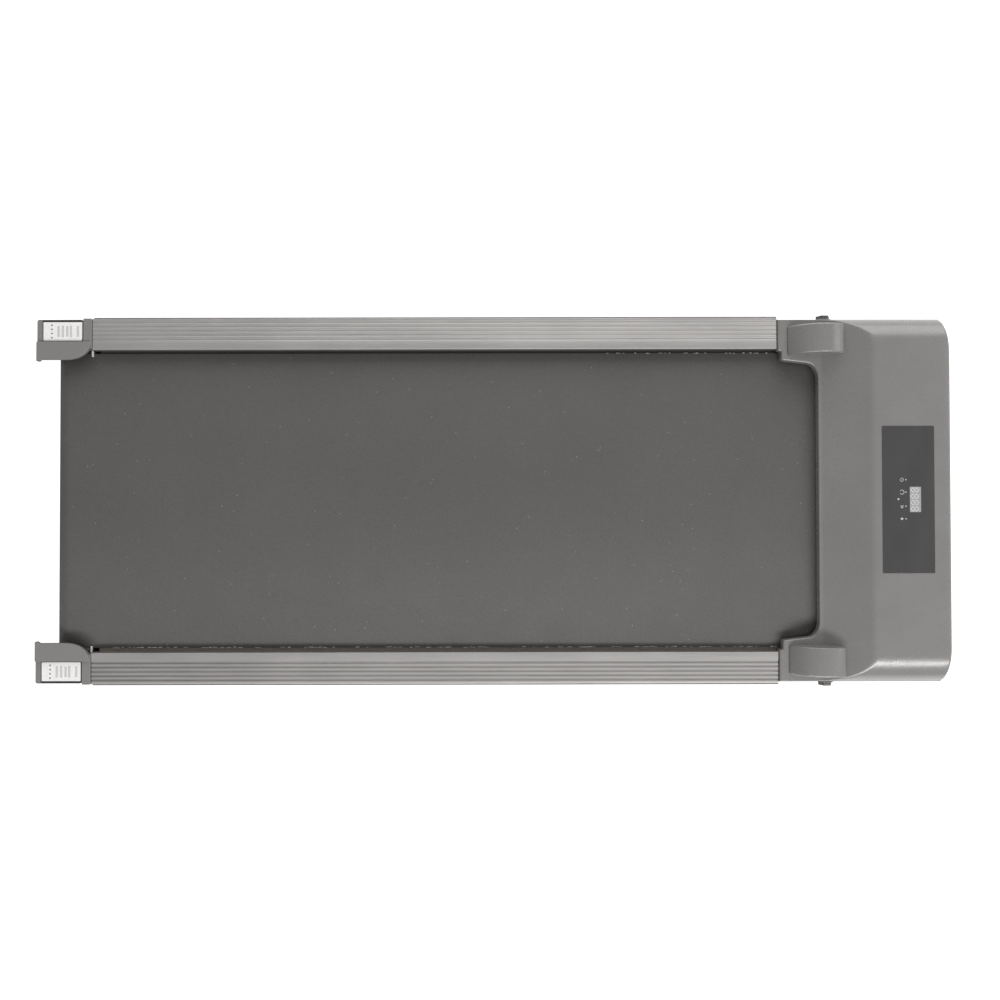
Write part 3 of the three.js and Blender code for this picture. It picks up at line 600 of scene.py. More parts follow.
def hood_rear(y):
    """X of the hood's rear edge at a distance y from the middle: lip, fillet, arm, outer step."""
    y = abs(y)
    if y <= LIP_END:
        return LIP_X
    if y < ARM_ROOT:
        across = (y - LIP_END) / (ARM_ROOT - LIP_END)
        return ARM_ROOT_X + (LIP_X - ARM_ROOT_X) * math.sqrt(max(0.0, 1 - across**2))
    corner_x = ARM_REAR_X + ARM_CORNER
    if y < ARM_INNER:
        return ARM_ROOT_X - (ARM_ROOT_X - corner_x) * (y - ARM_ROOT) / (ARM_INNER - ARM_ROOT)
    if y < ARM_INNER + ARM_CORNER:
        short = ARM_INNER + ARM_CORNER - y
        return corner_x - math.sqrt(max(0.0, ARM_CORNER**2 - short**2))
    if y < ARM_STEP:
        return ARM_REAR_X
    return max(HOOD_LOW.x, ARM_REAR_X - ARM_STEP_DEEP * (y - ARM_STEP) / ARM_STEP_WIDE)


def side_height(y):
    """Height of the hood's top at a distance y from the middle, with rolled sides."""
    side = np.clip(1 - (HOOD_HALF - np.abs(y)) / ROLL_WIDE, 0, 1)
    return HOOD_TOP - ROLL_DEEP + ROLL_DEEP * np.sqrt(1 - side**2)


def brow_setback(z):
    """How far the front wall stands back: 2t + 9t^2 mm at 50t - 7t^2 mm above its upright part."""
    t = (50 - math.sqrt(2500 - 28 * (z - WALL_TOP) / MM)) / 14
    return (2 * t + 9 * t * t) * MM


def wall_front(y, z):
    """X of the leaning front wall, whose corners are almost square at the foot, round above."""
    into = max(0.0, abs(y) - (HOOD_HALF - CORNER_REACH)) / CORNER_REACH
    curve = 1 - math.sqrt(max(0.0, 1 - min(1.0, into) ** 2))
    climb = max(0.0, (z - WALL_TOP) / (HOOD_TOP - WALL_TOP)) ** 0.7
    depth = CORNER_FOOT + (CORNER_HEAD - CORNER_FOOT) * climb
    return HOOD_HIGH.x - depth * curve - brow_setback(z)


def hood_columns():
    """Distances from the middle at which the hood is cut, densest where it curves."""
    flat = list(np.arange(0, 0.150, 0.0125))
    fillet = list(np.arange(0.150, 0.185, 0.0025))
    arm = list(np.arange(0.185, 0.196, 0.0006)) + list(np.arange(0.196, 0.2125, 0.0014))
    roll = [HOOD_HALF - ROLL_WIDE * (1 - math.sin(math.radians(a))) for a in range(0, 91, 2)]
    half = sorted(set(round(y, 6) for y in flat + fillet + arm + roll))
    return [-y for y in reversed(half) if y > 0] + half


def hood_rows(y):
    """X stations of one column from the rear edge to the brow."""
    rear, top = hood_rear(y), float(side_height(y))
    brow = wall_front(y, top - BROW_DROP) - BROW_REACH
    start = SLOPE_X + 0.001
    spread = [0, 0.012, 0.03, 0.06, 0.1, 0.16, 0.24, 0.36, 0.5, 0.65, 0.8, 0.92]
    rows = [rear + (start - rear) * s for s in spread]
    before, after = RIDGE_SPAN
    rows += list(np.linspace(start, before, 28)[:-1])
    rows += list(np.linspace(before, after, 24)[:-1])
    return rows + list(np.linspace(after, brow, 12))


def brow_points(y):
    """The rounded top edge of the front wall and the lean below it, at one column."""
    top = float(side_height(y))
    edge = wall_front(y, top - BROW_DROP)
    points = []
    for i in range(1, 8):
        t = i / 7
        back = BROW_REACH * (1 - t) ** 2 + 0.4 * MM * 2 * t * (1 - t)
        points.append((edge - back, y, top - BROW_DROP * t * t))
    for i in range(1, 8):
        z = top - BROW_DROP + (WALL_TOP - top + BROW_DROP) * i / 7
        points.append((wall_front(y, z), y, z))
    return points


def rear_edge_distance(x, y):
    """Distance of each point from the hood's rear outline."""
    samples = np.concatenate([np.arange(0, 0.186, 0.001), np.arange(0.186, 0.2471, 0.0002)])
    line = np.array([(hood_rear(s), s) for s in samples])
    a, b = line[:-1], line[1:]
    points = np.stack([x.ravel(), np.abs(y.ravel())], 1)
    best = np.full(len(points), 1e9)
    for start, step in zip(a, b - a):
        t = np.clip(((points - start) @ step) / (step @ step), 0, 1)
        best = np.minimum(best, np.hypot(*(points - (start + t[:, None] * step)).T))
    return best.reshape(x.shape)


def hood_height(x, y):
    """Height of the hood's outside behind the brow: arms, slope, flat top, rolled sides."""
    rise = (HOOD_TOP - ARM_TOP) / (RIDGE_X - SLOPE_X)
    slope = ARM_TOP + rise * (x - SLOPE_X)
    ramp = -smooth_min(-slope, np.full_like(x, -ARM_TOP), 1.2 * MM)
    top = smooth_min(ramp, side_height(y), CREASE)
    blend = np.clip((np.abs(y) - LIP_END) / 0.02, 0, 1)
    fillet = LIP_FILLET + (ARM_FILLET - LIP_FILLET) * blend
    depth = np.clip(fillet - rear_edge_distance(x, y), 0, fillet)
    return top - (fillet - np.sqrt(fillet**2 - depth**2))


def hood_skirts(verts, edges):
    """Upright walls from each edge of the top surface down to a floor height."""
    faces = []
    for edge, floor in edges:
        upper = edge
        for drop in (0.02, 0.5, 1.0):
            base = len(verts)
            for index in edge:
                x, y, z = verts[index]
                verts.append((x, y, z + (floor - z) * drop))
            lower = list(range(base, base + len(edge)))
            for k in range(len(edge) - 1):
                faces.append((upper[k], upper[k + 1], lower[k + 1], lower[k]))
            upper = lower
    return faces


def hood_mesh():
    columns = hood_columns()
    stations = np.array([hood_rows(y) for y in columns])
    ys = np.repeat(np.array(columns)[:, None], stations.shape[1], 1)
    heights = hood_height(stations, ys)
    verts = []
    for i, y in enumerate(columns):
        verts += list(zip(stations[i], ys[i], heights[i])) + brow_points(y)
    count = len(columns)
    rows = len(verts) // count
    faces = []
    for i in range(count - 1):
        for j in range(rows - 1):
            a = i * rows + j
            faces.append((a, a + 1, a + rows + 1, a + rows))
    low = HOOD_LOW.z
    edges = [
        ([i * rows + rows - 1 for i in range(count)], low),
        ([i * rows for i in range(count)], HOOD_REAR_WALL),
        (list(range(rows)), low),
        ([(count - 1) * rows + j for j in range(rows)], low),
    ]
    faces += hood_skirts(verts, edges)
    return mesh_from("hood_shell", verts, faces)


def fitting_cutters():
    """Boxes that open the hood's front wall for the inlet, the switch and the breaker."""
    cutters = []
    for node, rim in (("power_inlet", 3.8), ("switch_housing", 1.8), ("breaker_housing", 2.6)):
        low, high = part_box(node)
        edge = rim * MM
        start = (HOOD_HIGH.x - 0.012, low.y + edge, low.z + edge)
        end = (HOOD_HIGH.x + 0.012, high.y - edge, high.z - edge)
        cutters.append(box("opening", start, end))
    return cutters


def build_hood():
    mesh = hood_mesh()
    shell = link("hood_shell", mesh, replaces=["motor_hood"])
    solid = shell.modifiers.new("wall", "SOLIDIFY")
    solid.thickness = 2.4 * MM
    solid.offset = -1
    apply_modifiers(shell)
    carve(shell, *fitting_cutters())
    smooth(shell.data, 32)
    assign(shell, MATERIALS["hood"])


COVER = {"rear": 0.4015, "front": 0.4700, "inner": 0.1970, "outer": 0.2367}
COVER_CROWN_X = 0.446
COVER_RADIUS = 0.054


def cover_profile():
    """Side view of a pivot cover: an arc that starts level with the arm."""
    cz = HOOD_TOP - COVER_RADIUS
    start = math.degrees(math.acos((COVER["front"] - COVER_CROWN_X) / COVER_RADIUS))
    end = math.degrees(math.acos((COVER["rear"] - COVER_CROWN_X) / COVER_RADIUS))
    base = 94 * MM
    low = [(COVER["rear"], base), (COVER["front"], base)]
    return low + arc(COVER_CROWN_X, cz, COVER_RADIUS, start, end, 32)


def build_pivot_covers():
    body = prism("pivot_cover_shell", cover_profile(), "y", COVER["inner"], COVER["outer"])
    for side, sign in SIDES:
        mesh = body.copy() if sign > 0 else mirrored(body, "pivot_cover_shell")
        node = f"pivot_cover_{side}"
        cover = link(f"pivot_cover_shell_{side}", mesh, replaces=[node])
        bevelled(cover, 2.4 * MM, 5)
        assign(cover, MATERIALS["hood"])


# ---------------------------------------------------------------- control panel


PANEL_LOW, PANEL_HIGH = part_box("control_panel")
FILM_TOP = PANEL_HIGH.z + 0.35 * MM
INK = 0.06 * MM
DISPLAY = {"x0": 0.5530, "x1": 0.5678, "half": 0.0168}
ICON_X = 0.5425
LED_X = 0.5478
ICON_YS = (0.0262, 0.0097, -0.0090, -0.0257)
LAMP = (0.5378, 0.0005)


def flat_piece(name, outlines, material, base=FILM_TOP, height=INK):
    """Thin printed shapes lying on a face."""
    meshes = [prism(name, outline, "z", base, base + height) for outline in outlines]
    piece = link(name, joined(name, meshes))
    assign(piece, material)
    return piece


def disc(x, y, radius, steps=20):
    return arc(x, y, radius, 0, 360 - 360 / steps, steps - 1)


def ring(x, y, radius, width, gap=0, turn=0):
    """An open or almost closed ring as one outline."""
    start, end = turn + gap / 2, turn + 360 - max(gap, 1) / 2
    outside = arc(x, y, radius, start, end, 36)
    inside = arc(x, y, radius - width, end, start, 36)
    return outside + inside


def stroke(x0, y0, x1, y1, width):
    """A straight bar between two points."""
    along = Vector((x1 - x0, y1 - y0)).normalized()
    side = Vector((-along.y, along.x)) * width / 2
    a, b = Vector((x0, y0)), Vector((x1, y1))
    return [tuple(a + side), tuple(b + side), tuple(b - side), tuple(a - side)]


def seven_segments(cx, cy, height, width):
    """The seven bars of one digit that is read from the belt side, its top towards +X."""
    h, w, bar = height / 2, width / 2, width * 0.32
    cut = bar * 0.55
    bars = []
    for x in (-h, 0, h):
        bars.append(stroke(cx + x, cy - w + cut, cx + x, cy + w - cut, bar))
    for y in (-w, w):
        for x0, x1 in ((-h, 0), (0, h)):
            bars.append(stroke(cx + x0 + cut, cy + y, cx + x1 - cut, cy + y, bar))
    return bars


def build_icons():
    """Clock, road ring, double chevron and drop: generic marks for time, distance, speed, energy."""
    r = 2.5 * MM
    clock, road, pace, energy = ((ICON_X, y) for y in ICON_YS)
    shapes = [ring(*clock, r, 0.5 * MM)]
    shapes.append(stroke(clock[0], clock[1], clock[0] + 1.3 * MM, clock[1], 0.45 * MM))
    shapes.append(stroke(clock[0], clock[1], clock[0], clock[1] - 1.0 * MM, 0.45 * MM))
    shapes.append(ring(*road, r * 1.25, 0.75 * MM, gap=70, turn=180))
    for shift in (-1.1 * MM, 0.9 * MM):
        tip = (pace[0], pace[1] - 1.4 * MM + shift)
        for end in (-1.7 * MM, 1.7 * MM):
            shapes.append(stroke(tip[0], tip[1], tip[0] + end, tip[1] + 1.7 * MM, 0.8 * MM))
    drop = arc(energy[0] - 0.4 * MM, energy[1], 1.5 * MM, 60, 300, 20)
    shapes.append(drop + [(energy[0] + 2.4 * MM, energy[1])])
    shapes.append(disc(*LAMP, 1.25 * MM))
    flat_piece("panel_icons", shapes, ICON_INK)
    dots = [disc(LED_X, y, 0.85 * MM) for y in ICON_YS]
    flat_piece("panel_indicators", dots, LIGHT_INK)


def build_display():
    x0, x1, half = DISPLAY["x0"], DISPLAY["x1"], DISPLAY["half"]
    window = rounded_rectangle(x0, x1, -half, half, 0.4 * MM, 3)
    flat_piece("display_window", [window], DISPLAY_GREY)
    pitch = 2 * half / 4
    bars = []
    for i in range(4):
        cy = -half + pitch * (i + 0.5)
        bars += seven_segments((x0 + x1) / 2 - 1.0 * MM, cy, 9.6 * MM, 4.8 * MM)
    flat_piece("display_digits", bars, SEGMENT_WHITE, base=FILM_TOP + INK)


def build_panel():
    low, high = PANEL_LOW, PANEL_HIGH
    outline = rounded_rectangle(low.x, high.x, low.y, high.y, 1.5 * MM)
    film = prism("panel_film", outline, "z", HOOD_TOP - 0.5 * MM, FILM_TOP)
    piece = link("panel_film", film, replaces=["control_panel"])
    bevelled(piece, 0.15 * MM, 2)
    assign(piece, MATERIALS["panel"])
    build_icons()
    build_display()


# ---------------------------------------------------------------- rails


RAIL_LOW, RAIL_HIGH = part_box("side_rail_left")
RIB_PITCH = 5.8 * MM
RIB_FIRST = 219 * MM
RIB_COUNT = 5
RIB_DEPTHS = {"left": 0.6 * MM, "right": 1.7 * MM}
GROOVE = 4.2 * MM
RAIL_WEBS = (0.224, 0.238)


def rail_outline(rib_depth):
    """End view of the left rail: lip, flat tread, five rounded ribs, outer edge, two webs."""
    top, wall = RAIL_HIGH.z, 3 * MM
    inner, outer = RAIL_LOW.y, RAIL_HIGH.y
    web_low = RAIL_LOW.z + 0.3 * MM
    points = [(inner, top - 10 * MM), (inner + 2.5 * MM, top - 10 * MM), (inner + 2.5 * MM, top - wall)]
    for web in RAIL_WEBS:
        points += [(web, top - wall), (web, web_low), (web + 2 * MM, web_low), (web + 2 * MM, top - wall)]
    points += [(outer - 2.5 * MM, top - wall), (outer - 2.5 * MM, RAIL_LOW.z), (outer, RAIL_LOW.z)]
    points += arc(outer - 1.2 * MM, top - 1.2 * MM, 1.2 * MM, 0, 90, 5)
    for rib in reversed(range(RIB_COUNT)):
        start = RIB_FIRST + rib * RIB_PITCH
        for step in range(11):
            turn = step / 10
            depth = rib_depth * math.sin(math.pi * turn) ** 0.85
            points.append((start + GROOVE * (1 - turn), top - depth))
    points += arc(inner + 1.0 * MM, top - 1.0 * MM, 1.0 * MM, 90, 180, 4)
    return points


def build_rails():
    for side, sign in SIDES:
        outline = rail_outline(RIB_DEPTHS[side])
        mesh = prism("rail_profile", outline, "x", RAIL_LOW.x, RAIL_HIGH.x)
        mesh = mesh if sign > 0 else mirrored(mesh, "rail_profile")
        smooth(mesh, 45)
        rail = link(f"rail_profile_{side}", mesh, replaces=[f"side_rail_{side}"])
        assign(rail, MATERIALS["aluminium"])


# ---------------------------------------------------------------- running belt


BELT_LOW, BELT_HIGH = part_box("running_belt")
BELT_THICK = 2 * MM
BELT_EDGES = (-202.2 * MM, 204.0 * MM)
LEFT_FRAY = (0.15, 0.38)
LOOP_RADIUS = (BELT_HIGH.z - BELT_LOW.z) / 2
ROLLER_Z = (BELT_HIGH.z + BELT_LOW.z) / 2


def belt_loop(radius):
    rear = BELT_LOW.x + LOOP_RADIUS
    front = BELT_HIGH.x - LOOP_RADIUS
    turn = arc(front, ROLLER_Z, radius, -90, 90, 40)
    top = [(front + (rear - front) * i / 40, ROLLER_Z + radius) for i in range(1, 40)]
    back = arc(rear, ROLLER_Z, radius, 90, 270, 40)
    under = [(rear + (front - rear) * i / 40, ROLLER_Z - radius) for i in range(1, 40)]
    return turn + top + back + under


def build_belt():
    """The loop as a band with slightly rounded edges, tracking a little to the left."""
    right, left = BELT_EDGES
    edge = 0.5 * MM
    section = [
        (right + edge, LOOP_RADIUS),
        (left - edge, LOOP_RADIUS),
        (left, LOOP_RADIUS - edge),
        (left, LOOP_RADIUS - BELT_THICK),
        (right, LOOP_RADIUS - BELT_THICK),
        (right, LOOP_RADIUS - edge),
    ]
    rings = [[(x, y, z) for x, z in belt_loop(radius)] for y, radius in section]
    count = len(rings[0])
    verts = [v for points in rings for v in points]
    faces = []
    for r in range(len(rings)):
        following = (r + 1) % len(rings)
        for i in range(count):
            j = (i + 1) % count
            a, b = r * count, following * count
            faces.append((a + i, a + j, b + j, b + i))
    mesh = mesh_from("belt_loop", verts, faces)
    smooth(mesh, 50)
    belt = link("belt_loop", mesh, replaces=["running_belt"])
    assign(belt, MATERIALS["belt"])


def threads(draw, start, end, edge, dense, longest):
    """Pale polyester ends that fray out along one cut edge of the belt."""
    meshes = []
    x = start
    while x < end:
        length = draw.uniform(1.5 * MM, longest)
        if draw.random() < dense:
            width = draw.uniform(0.35, 0.8) * MM
            y = edge - math.copysign(draw.uniform(0.1, 0.8) * MM, edge)
            skew = draw.uniform(-0.25, 0.25) * MM
            outline = stroke(x, y, x + length, y + skew, width)
            top = BELT_HIGH.z + draw.uniform(0.05, 0.3) * MM
            meshes.append(prism("thread", outline, "z", BELT_HIGH.z - 0.2 * MM, top))
        x += length + draw.uniform(0.2, 4.0) * MM
    return meshes


def build_belt_threads():
    draw = random.Random(7)
    right, left = BELT_EDGES
    rear, front = BELT_LOW.x + LOOP_RADIUS + 60 * MM, LIP_X - 3 * MM
    meshes = threads(draw, rear, front, right, 0.6, 8 * MM)
    meshes += threads(draw, *LEFT_FRAY, left, 0.4, 3 * MM)
    piece = link("belt_threads", joined("belt_threads", meshes))
    assign(piece, THREAD)


# ---------------------------------------------------------------- end caps


CAP_LOW, CAP_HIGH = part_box("end_cap_left")
LABEL_LOW, LABEL_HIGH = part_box("index_label_left")
SHIELD_INNER = CAP_LOW.y
SHIELD_OUTER = 0.2180
BLOCK_INNER = 0.2086
TENSION_HOLE = (0.215, 0.059)
COLLAR_HOLLOW = (0.2215, 0.2450)
COLLAR_HOLLOW_TOP = 93 * MM
CAP_TOP = LABEL_HIGH.z
SHIELD_TOP = CAP_HIGH.z
COLLAR = 12 * MM
LABEL_SHIFT = -1.6 * MM


def shield_outline():
    """Top view of the roller guard: straight edge, small flare behind, big front corner."""
    front, rear, inner = CAP_HIGH.x - 0.6 * MM, CAP_LOW.x + 0.7 * MM, SHIELD_INNER
    a, b = 34 * MM, 24 * MM
    points = [(rear, SHIELD_OUTER), (rear, inner - 2.0 * MM), (rear + 3.2 * MM, inner - 2.0 * MM)]
    points.append((rear + 5.5 * MM, inner))
    for step in range(17):
        angle = math.radians(-90 + 90 * step / 16)
        points.append((front - a + a * math.cos(angle), inner + b + b * math.sin(angle)))
    points.append((front, SHIELD_OUTER))
    return points


def taken_mesh(obj):
    """The mesh of an object that was made only to shape it."""
    mesh = obj.data
    bpy.data.objects.remove(obj)
    return mesh


def cap_block():
    """Outer block with the sunk seat for its label and the hole for the tension bolt."""
    rear, front = CAP_LOW.x + 0.4 * MM, CAP_HIGH.x - COLLAR
    outline = rounded_rectangle(rear, front, BLOCK_INNER, CAP_HIGH.y - 1.6 * MM, 3 * MM)
    block = link("cap_block", prism("cap_block", outline, "z", CAP_LOW.z, CAP_TOP))
    bevelled(block, 0.7 * MM, 3)
    low, high = LABEL_LOW, LABEL_HIGH
    seat_low = (low.x + LABEL_SHIFT - 1.0 * MM, low.y - 4 * MM, CAP_TOP - 2 * MM)
    seat = box("seat", seat_low, (high.x + 1 * MM, high.y + 3.0 * MM, 1))
    hole_profile = [(7.3 * MM, -0.02), (7.3 * MM, 0.0124)]
    hole = turned("hole", hole_profile, "x", (CAP_LOW.x, *TENSION_HOLE), 40)
    carve(block, seat, hole)
    return taken_mesh(block)


def cap_collar():
    rear = CAP_HIGH.x - COLLAR + 0.4 * MM
    outline = rounded_rectangle(rear, CAP_HIGH.x, 0.2090, CAP_HIGH.y - 0.2 * MM, 1.2 * MM, 3)
    piece = link("collar", prism("collar", outline, "z", CAP_LOW.z, CAP_TOP + 0.8 * MM))
    bevelled(piece, 0.6 * MM, 2)
    inner, outer = COLLAR_HOLLOW
    space = box("space", (-1, inner, 0), (1, outer, COLLAR_HOLLOW_TOP))
    carve(piece, space)
    return taken_mesh(piece)


def cap_shield():
    outline = shield_outline()
    plate = link("shield", prism("shield", outline, "z", SHIELD_TOP - 6 * MM, SHIELD_TOP))
    bevelled(plate, 1.6 * MM, 5, 50)
    return taken_mesh(plate)


def build_end_caps():
    left = joined("cap_moulding", [cap_block(), cap_collar(), cap_shield()])
    for side, sign in SIDES:
        mesh = left.copy() if sign > 0 else mirrored(left, "cap_moulding")
        cap = link(f"cap_moulding_{side}", mesh, replaces=[f"end_cap_{side}"])
        settle_normals(cap)
        assign(cap, MATERIALS["cap"])


def build_labels():
    """A pale film with generic dots and bars in each cap's seat, on a black sheet that is painted shade
    round the film.
    """
    shift = Vector((LABEL_SHIFT, 0, 0))
    low, high = LABEL_LOW + shift, LABEL_HIGH + shift
    top = CAP_TOP - 0.5 * MM
    for side, sign in SIDES:
        # painted shade: a black sheet round the film stands for the shade in the label's seat
        span = sorted((sign * (low.y - 1.5 * MM), sign * (high.y + 2.6 * MM)))
        seat_shade = rounded_rectangle(low.x - 1.0 * MM, high.x + 1.6 * MM, *span, 0.8 * MM)
        flat_piece(f"label_seat_shade_{side}", [seat_shade], MATERIALS["black"], top - 1 * MM, 0.9 * MM)
        span = sorted((sign * (low.y - 1.0 * MM), sign * (high.y + 0.5 * MM)))
        outline = rounded_rectangle(low.x, high.x + 1.0 * MM, *span, 0.8 * MM)
        sheet = prism("label_film", outline, "z", top - 0.1 * MM, top)
        film = link(f"label_film_{side}", sheet, replaces=[f"index_label_{side}"])
        assign(film, MATERIALS["label"])
        middle = sum(span) / 2
        dots = [disc(low.x + 11.5 * MM, middle + (i - 1.5) * 5.7 * MM, 1.15 * MM) for i in range(4)]
        flat_piece(f"label_dots_{side}", dots, DOT_INK, top)
        bars = []
        for block, half in ((19.5, 7.6), (25.5, 8.0), (31.5, 7.0), (36.5, 8.0), (46.0, 7.4)):
            for line in range(3):
                x = low.x + (block + 1.1 * line) * MM
                bars.append(stroke(x, middle - half * MM, x, middle + half * MM, 0.5 * MM))
        flat_piece(f"label_bars_{side}", bars, GREY_INK, top)


def build_belt_guides():
    """A pale tip that reaches over the belt's edge, on a leg beside the rail that is coloured black as
    painted shade.
    """
    for side, sign in SIDES:
        node = f"belt_guide_{side}"
        low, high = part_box(node)
        middle = (low.x + high.x) / 2
        half, depth = 1.1 * MM, 4.4 * MM
        finger = box("tip", (middle - half, low.y, high.z - 3 * MM), (middle + half, high.y, high.z))
        tip = link(f"guide_tip_{side}", finger, replaces=[node])
        bevelled(tip, 0.7 * MM, 3)
        assign(tip, MATERIALS["nylon"])
        # painted shade: the leg is coloured black to stand for the shade beside the rail
        inner, outer = (high.y - depth, high.y) if sign > 0 else (low.y, low.y + depth)
        post = box("shade_leg", (low.x, inner, low.z), (high.x, outer, high.z - 3 * MM))
        shade_leg = link(f"guide_leg_{side}", post, replaces=[node])
        assign(shade_leg, MATERIALS["black"])


# ---------------------------------------------------------------- bolts, feet, wheels


def hexagon(radius):
    angles = [math.radians(a) for a in range(0, 360, 60)]
    return [(radius * math.cos(a), radius * math.sin(a)) for a in angles]


def build_handrail_bolts():
    for side, sign in SIDES:
        node = f"handrail_bolt_{side}"
        low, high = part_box(node)
        cx, cz = (low.x + high.x) / 2, (low.z + high.z) / 2
        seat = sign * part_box("side_tube_left")[1].y
        tip = high.y if sign > 0 else low.y
        radius = (high.x - low.x) / 2
        depth = abs(tip - seat)
        flange = [(0.0045, 0), (radius, 0), (radius, 0.0012), (radius * 0.72, 0.0030), (0.0045, 0.0030)]
        flange = [(r, sign * h) for r, h in flange]
        washer = turned("flange", flange, "y", (cx, seat, cz), 56)
        outline = [(cx + u, cz + v) for u, v in hexagon(0.0094)]
        ends = sorted((seat + sign * 0.0024, seat + sign * depth))
        head = prism("head", outline, "y", *ends)
        whole = joined("bolt_head", [washer, head])
        bolt = link(f"bolt_head_{side}", whole, replaces=[node])
        bevelled(bolt, 0.5 * MM, 2)
        assign(bolt, BOLT_STEEL)


def build_feet():
    """Rubber feet with a chamfered sole, a waist and a moulded ring."""
    for end in ("rear", "front"):
        for side, _ in SIDES:
            node = f"foot_{end}_{side}"
            low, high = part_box(node)
            centre = ((low.x + high.x) / 2, (low.y + high.y) / 2, 0)
            radius, height = (high.x - low.x) / 2, high.z
            profile = [(0.0115, 0.0006), (0.0125, 0), (radius - 0.003, 0), (radius - 0.001, 0.002)]
            profile += [(radius - 0.001, 0.006), (radius - 0.0022, 0.0075), (radius - 0.0022, 0.0095)]
            profile += [(radius - 0.0005, 0.011), (radius, 0.013), (radius, height), (0.004, height)]
            pad = turned("foot_pad", profile, "z", centre)
            foot = link(f"foot_pad_{end}_{side}", pad, replaces=[node])
            smooth(foot.data, 40)
            assign(foot, MATERIALS["rubber"])


def wheel_profile(radius, half):
    """Section of a wheel: bore, hub, sunk web, rounded rims and a shallow groove round the tread."""
    bore, hub, web = 4.3 * MM, 7.8 * MM, half - 2 * MM
    outboard = [(bore, half), (hub, half), (hub + 0.2 * MM, web), (radius - 5 * MM, web)]
    outboard += [(radius - 4.5 * MM, half), (radius - 2.5 * MM, half)]
    outboard += [(radius - 0.6 * MM, half - 1.2 * MM), (radius, half - 3 * MM), (radius, 1 * MM)]
    inboard = [(r, -h) for r, h in outboard]
    return inboard + [(radius - 0.8 * MM, 0)] + outboard[::-1] + inboard[:1]


def build_wheels():
    for side, _ in SIDES:
        node = f"wheel_{side}"
        low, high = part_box(node)
        centre = ((low + high) / 2)[:]
        profile = wheel_profile((high.z - low.z) / 2, (high.y - low.y) / 2)
        tread = turned("wheel_tread", profile, "y", centre)
        wheel = link(f"wheel_tread_{side}", tread, f"wheel_unit_{side}", [node])
        smooth(wheel.data, 40)
        assign(wheel, MATERIALS["black"])


# ---------------------------------------------------------------- stage


def floor_material():
    """White floor with a shadow under the machine; reflections see a lit band along each side."""
    m = Nodes("pale_floor", (0.35, 0.35, 0.35), 0.9)
    m.shader.inputs["Specular IOR Level"].default_value = 0.1
    m.shader.inputs["Emission Color"].default_value = (1, 1, 1, 1)
    place = m.add("SeparateXYZ")
    m.wire(m.coords.outputs["Object"], place.inputs["Vector"])
    along = m.math("ABSOLUTE", place.outputs["X"])
    across = m.math("ABSOLUTE", place.outputs["Y"])
    outside = m.math("MAXIMUM", m.rise(along, 0.53, 0.58), m.rise(across, 0.20, 0.24))
    glow = m.add("MapRange")
    m.wire(m.add("LightPath").outputs["Is Camera Ray"], glow.inputs["Value"])
    m.wire(m.rise(across, 0.27, 0.33, 0.05), glow.inputs["To Min"])
    m.wire(outside, glow.inputs["To Max"])
    m.wire(glow.outputs["Result"], m.shader.inputs["Emission Strength"])
    return m.material


def build_stage():
    reach = 6.0
    corners = [(-reach, -reach, 0), (reach, -reach, 0), (reach, reach, 0), (-reach, reach, 0)]
    mesh = mesh_from("floor", corners, [(0, 1, 2, 3)])
    floor = bpy.data.objects.new("floor", mesh)
    bpy.context.scene.collection.objects.link(floor)
    assign(floor, floor_material())


def area_light(name, place, target, size, power, color=(1, 1, 1)):
    light = bpy.data.lights.new(name, "AREA")
    light.shape = "RECTANGLE"
    light.size, light.size_y = size
    light.energy = power
    light.color = color
    lamp = bpy.data.objects.new(name, light)
    bpy.context.scene.collection.objects.link(lamp)
    lamp.location = place
    lamp.rotation_euler = (Vector(target) - Vector(place)).to_track_quat("-Z", "Y").to_euler()


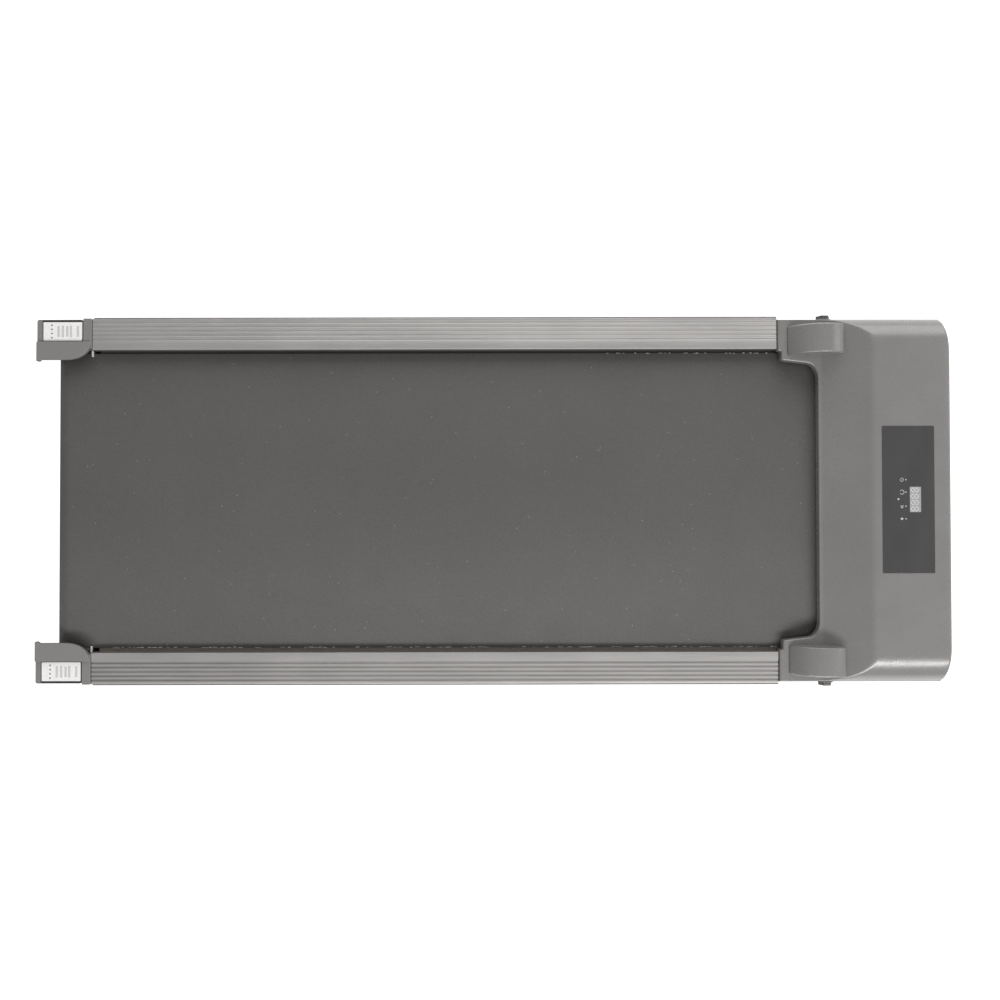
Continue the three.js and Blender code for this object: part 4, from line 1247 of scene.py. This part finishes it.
def build_world():
    """White to the camera; as a light it is dim behind the machine and brighter ahead of it."""
    world = bpy.data.worlds.new("studio")
    world.use_nodes = True
    tree = world.node_tree
    background = tree.nodes["Background"]
    background.inputs["Color"].default_value = (1, 1, 1, 1)
    path = tree.nodes.new("ShaderNodeLightPath")
    level = tree.nodes.new("ShaderNodeMapRange")
    coords = tree.nodes.new("ShaderNodeTexCoord")
    split = tree.nodes.new("ShaderNodeSeparateXYZ")
    ahead = tree.nodes.new("ShaderNodeMapRange")
    for socket, value in (("From Min", -0.8), ("From Max", 0.1), ("To Min", 0.24), ("To Max", 0.45)):
        ahead.inputs[socket].default_value = value
    tree.links.new(coords.outputs["Generated"], split.inputs["Vector"])
    tree.links.new(split.outputs["X"], ahead.inputs["Value"])
    tree.links.new(ahead.outputs["Result"], level.inputs["To Min"])
    tree.links.new(path.outputs["Is Camera Ray"], level.inputs["Value"])
    tree.links.new(level.outputs["Result"], background.inputs["Strength"])
    bpy.context.scene.world = world


def build_lights():
    area_light("side_strip", (0.45, -1.95, 2.12), (0.1, 0, 0.08), (3.8, 0.55), 59)
    area_light("side_wall", (0.4, 2.1, 0.95), (0.2, 0, 0.1), (3.6, 1.5), 32)
    area_light("front_window", (2.4, 0.2, 1.6), (0.3, 0, 0.1), (1.6, 0.8), 5)


CAMERA_HEIGHT = 1.158
CAMERA_TILT = math.radians(0.7)
CAMERA_ROLL = math.radians(-0.1)
LENS = 28.0


def build_camera():
    data = bpy.data.cameras.new("camera")
    data.lens = LENS
    data.sensor_width = 36
    camera = bpy.data.objects.new("camera", data)
    bpy.context.scene.collection.objects.link(camera)
    camera.location = (0.0082, 0.0017 - math.tan(CAMERA_TILT) * CAMERA_HEIGHT, CAMERA_HEIGHT)
    camera.rotation_euler = (CAMERA_TILT, 0, CAMERA_ROLL)
    bpy.context.scene.camera = camera


build_hood()
build_pivot_covers()
build_panel()
build_rails()
build_belt()
build_belt_threads()
build_end_caps()
build_labels()
build_belt_guides()
build_handrail_bolts()
build_feet()
build_wheels()
build_stage()
build_world()
build_lights()
build_camera()

scene = bpy.context.scene
scene.view_settings.view_transform = "Standard"
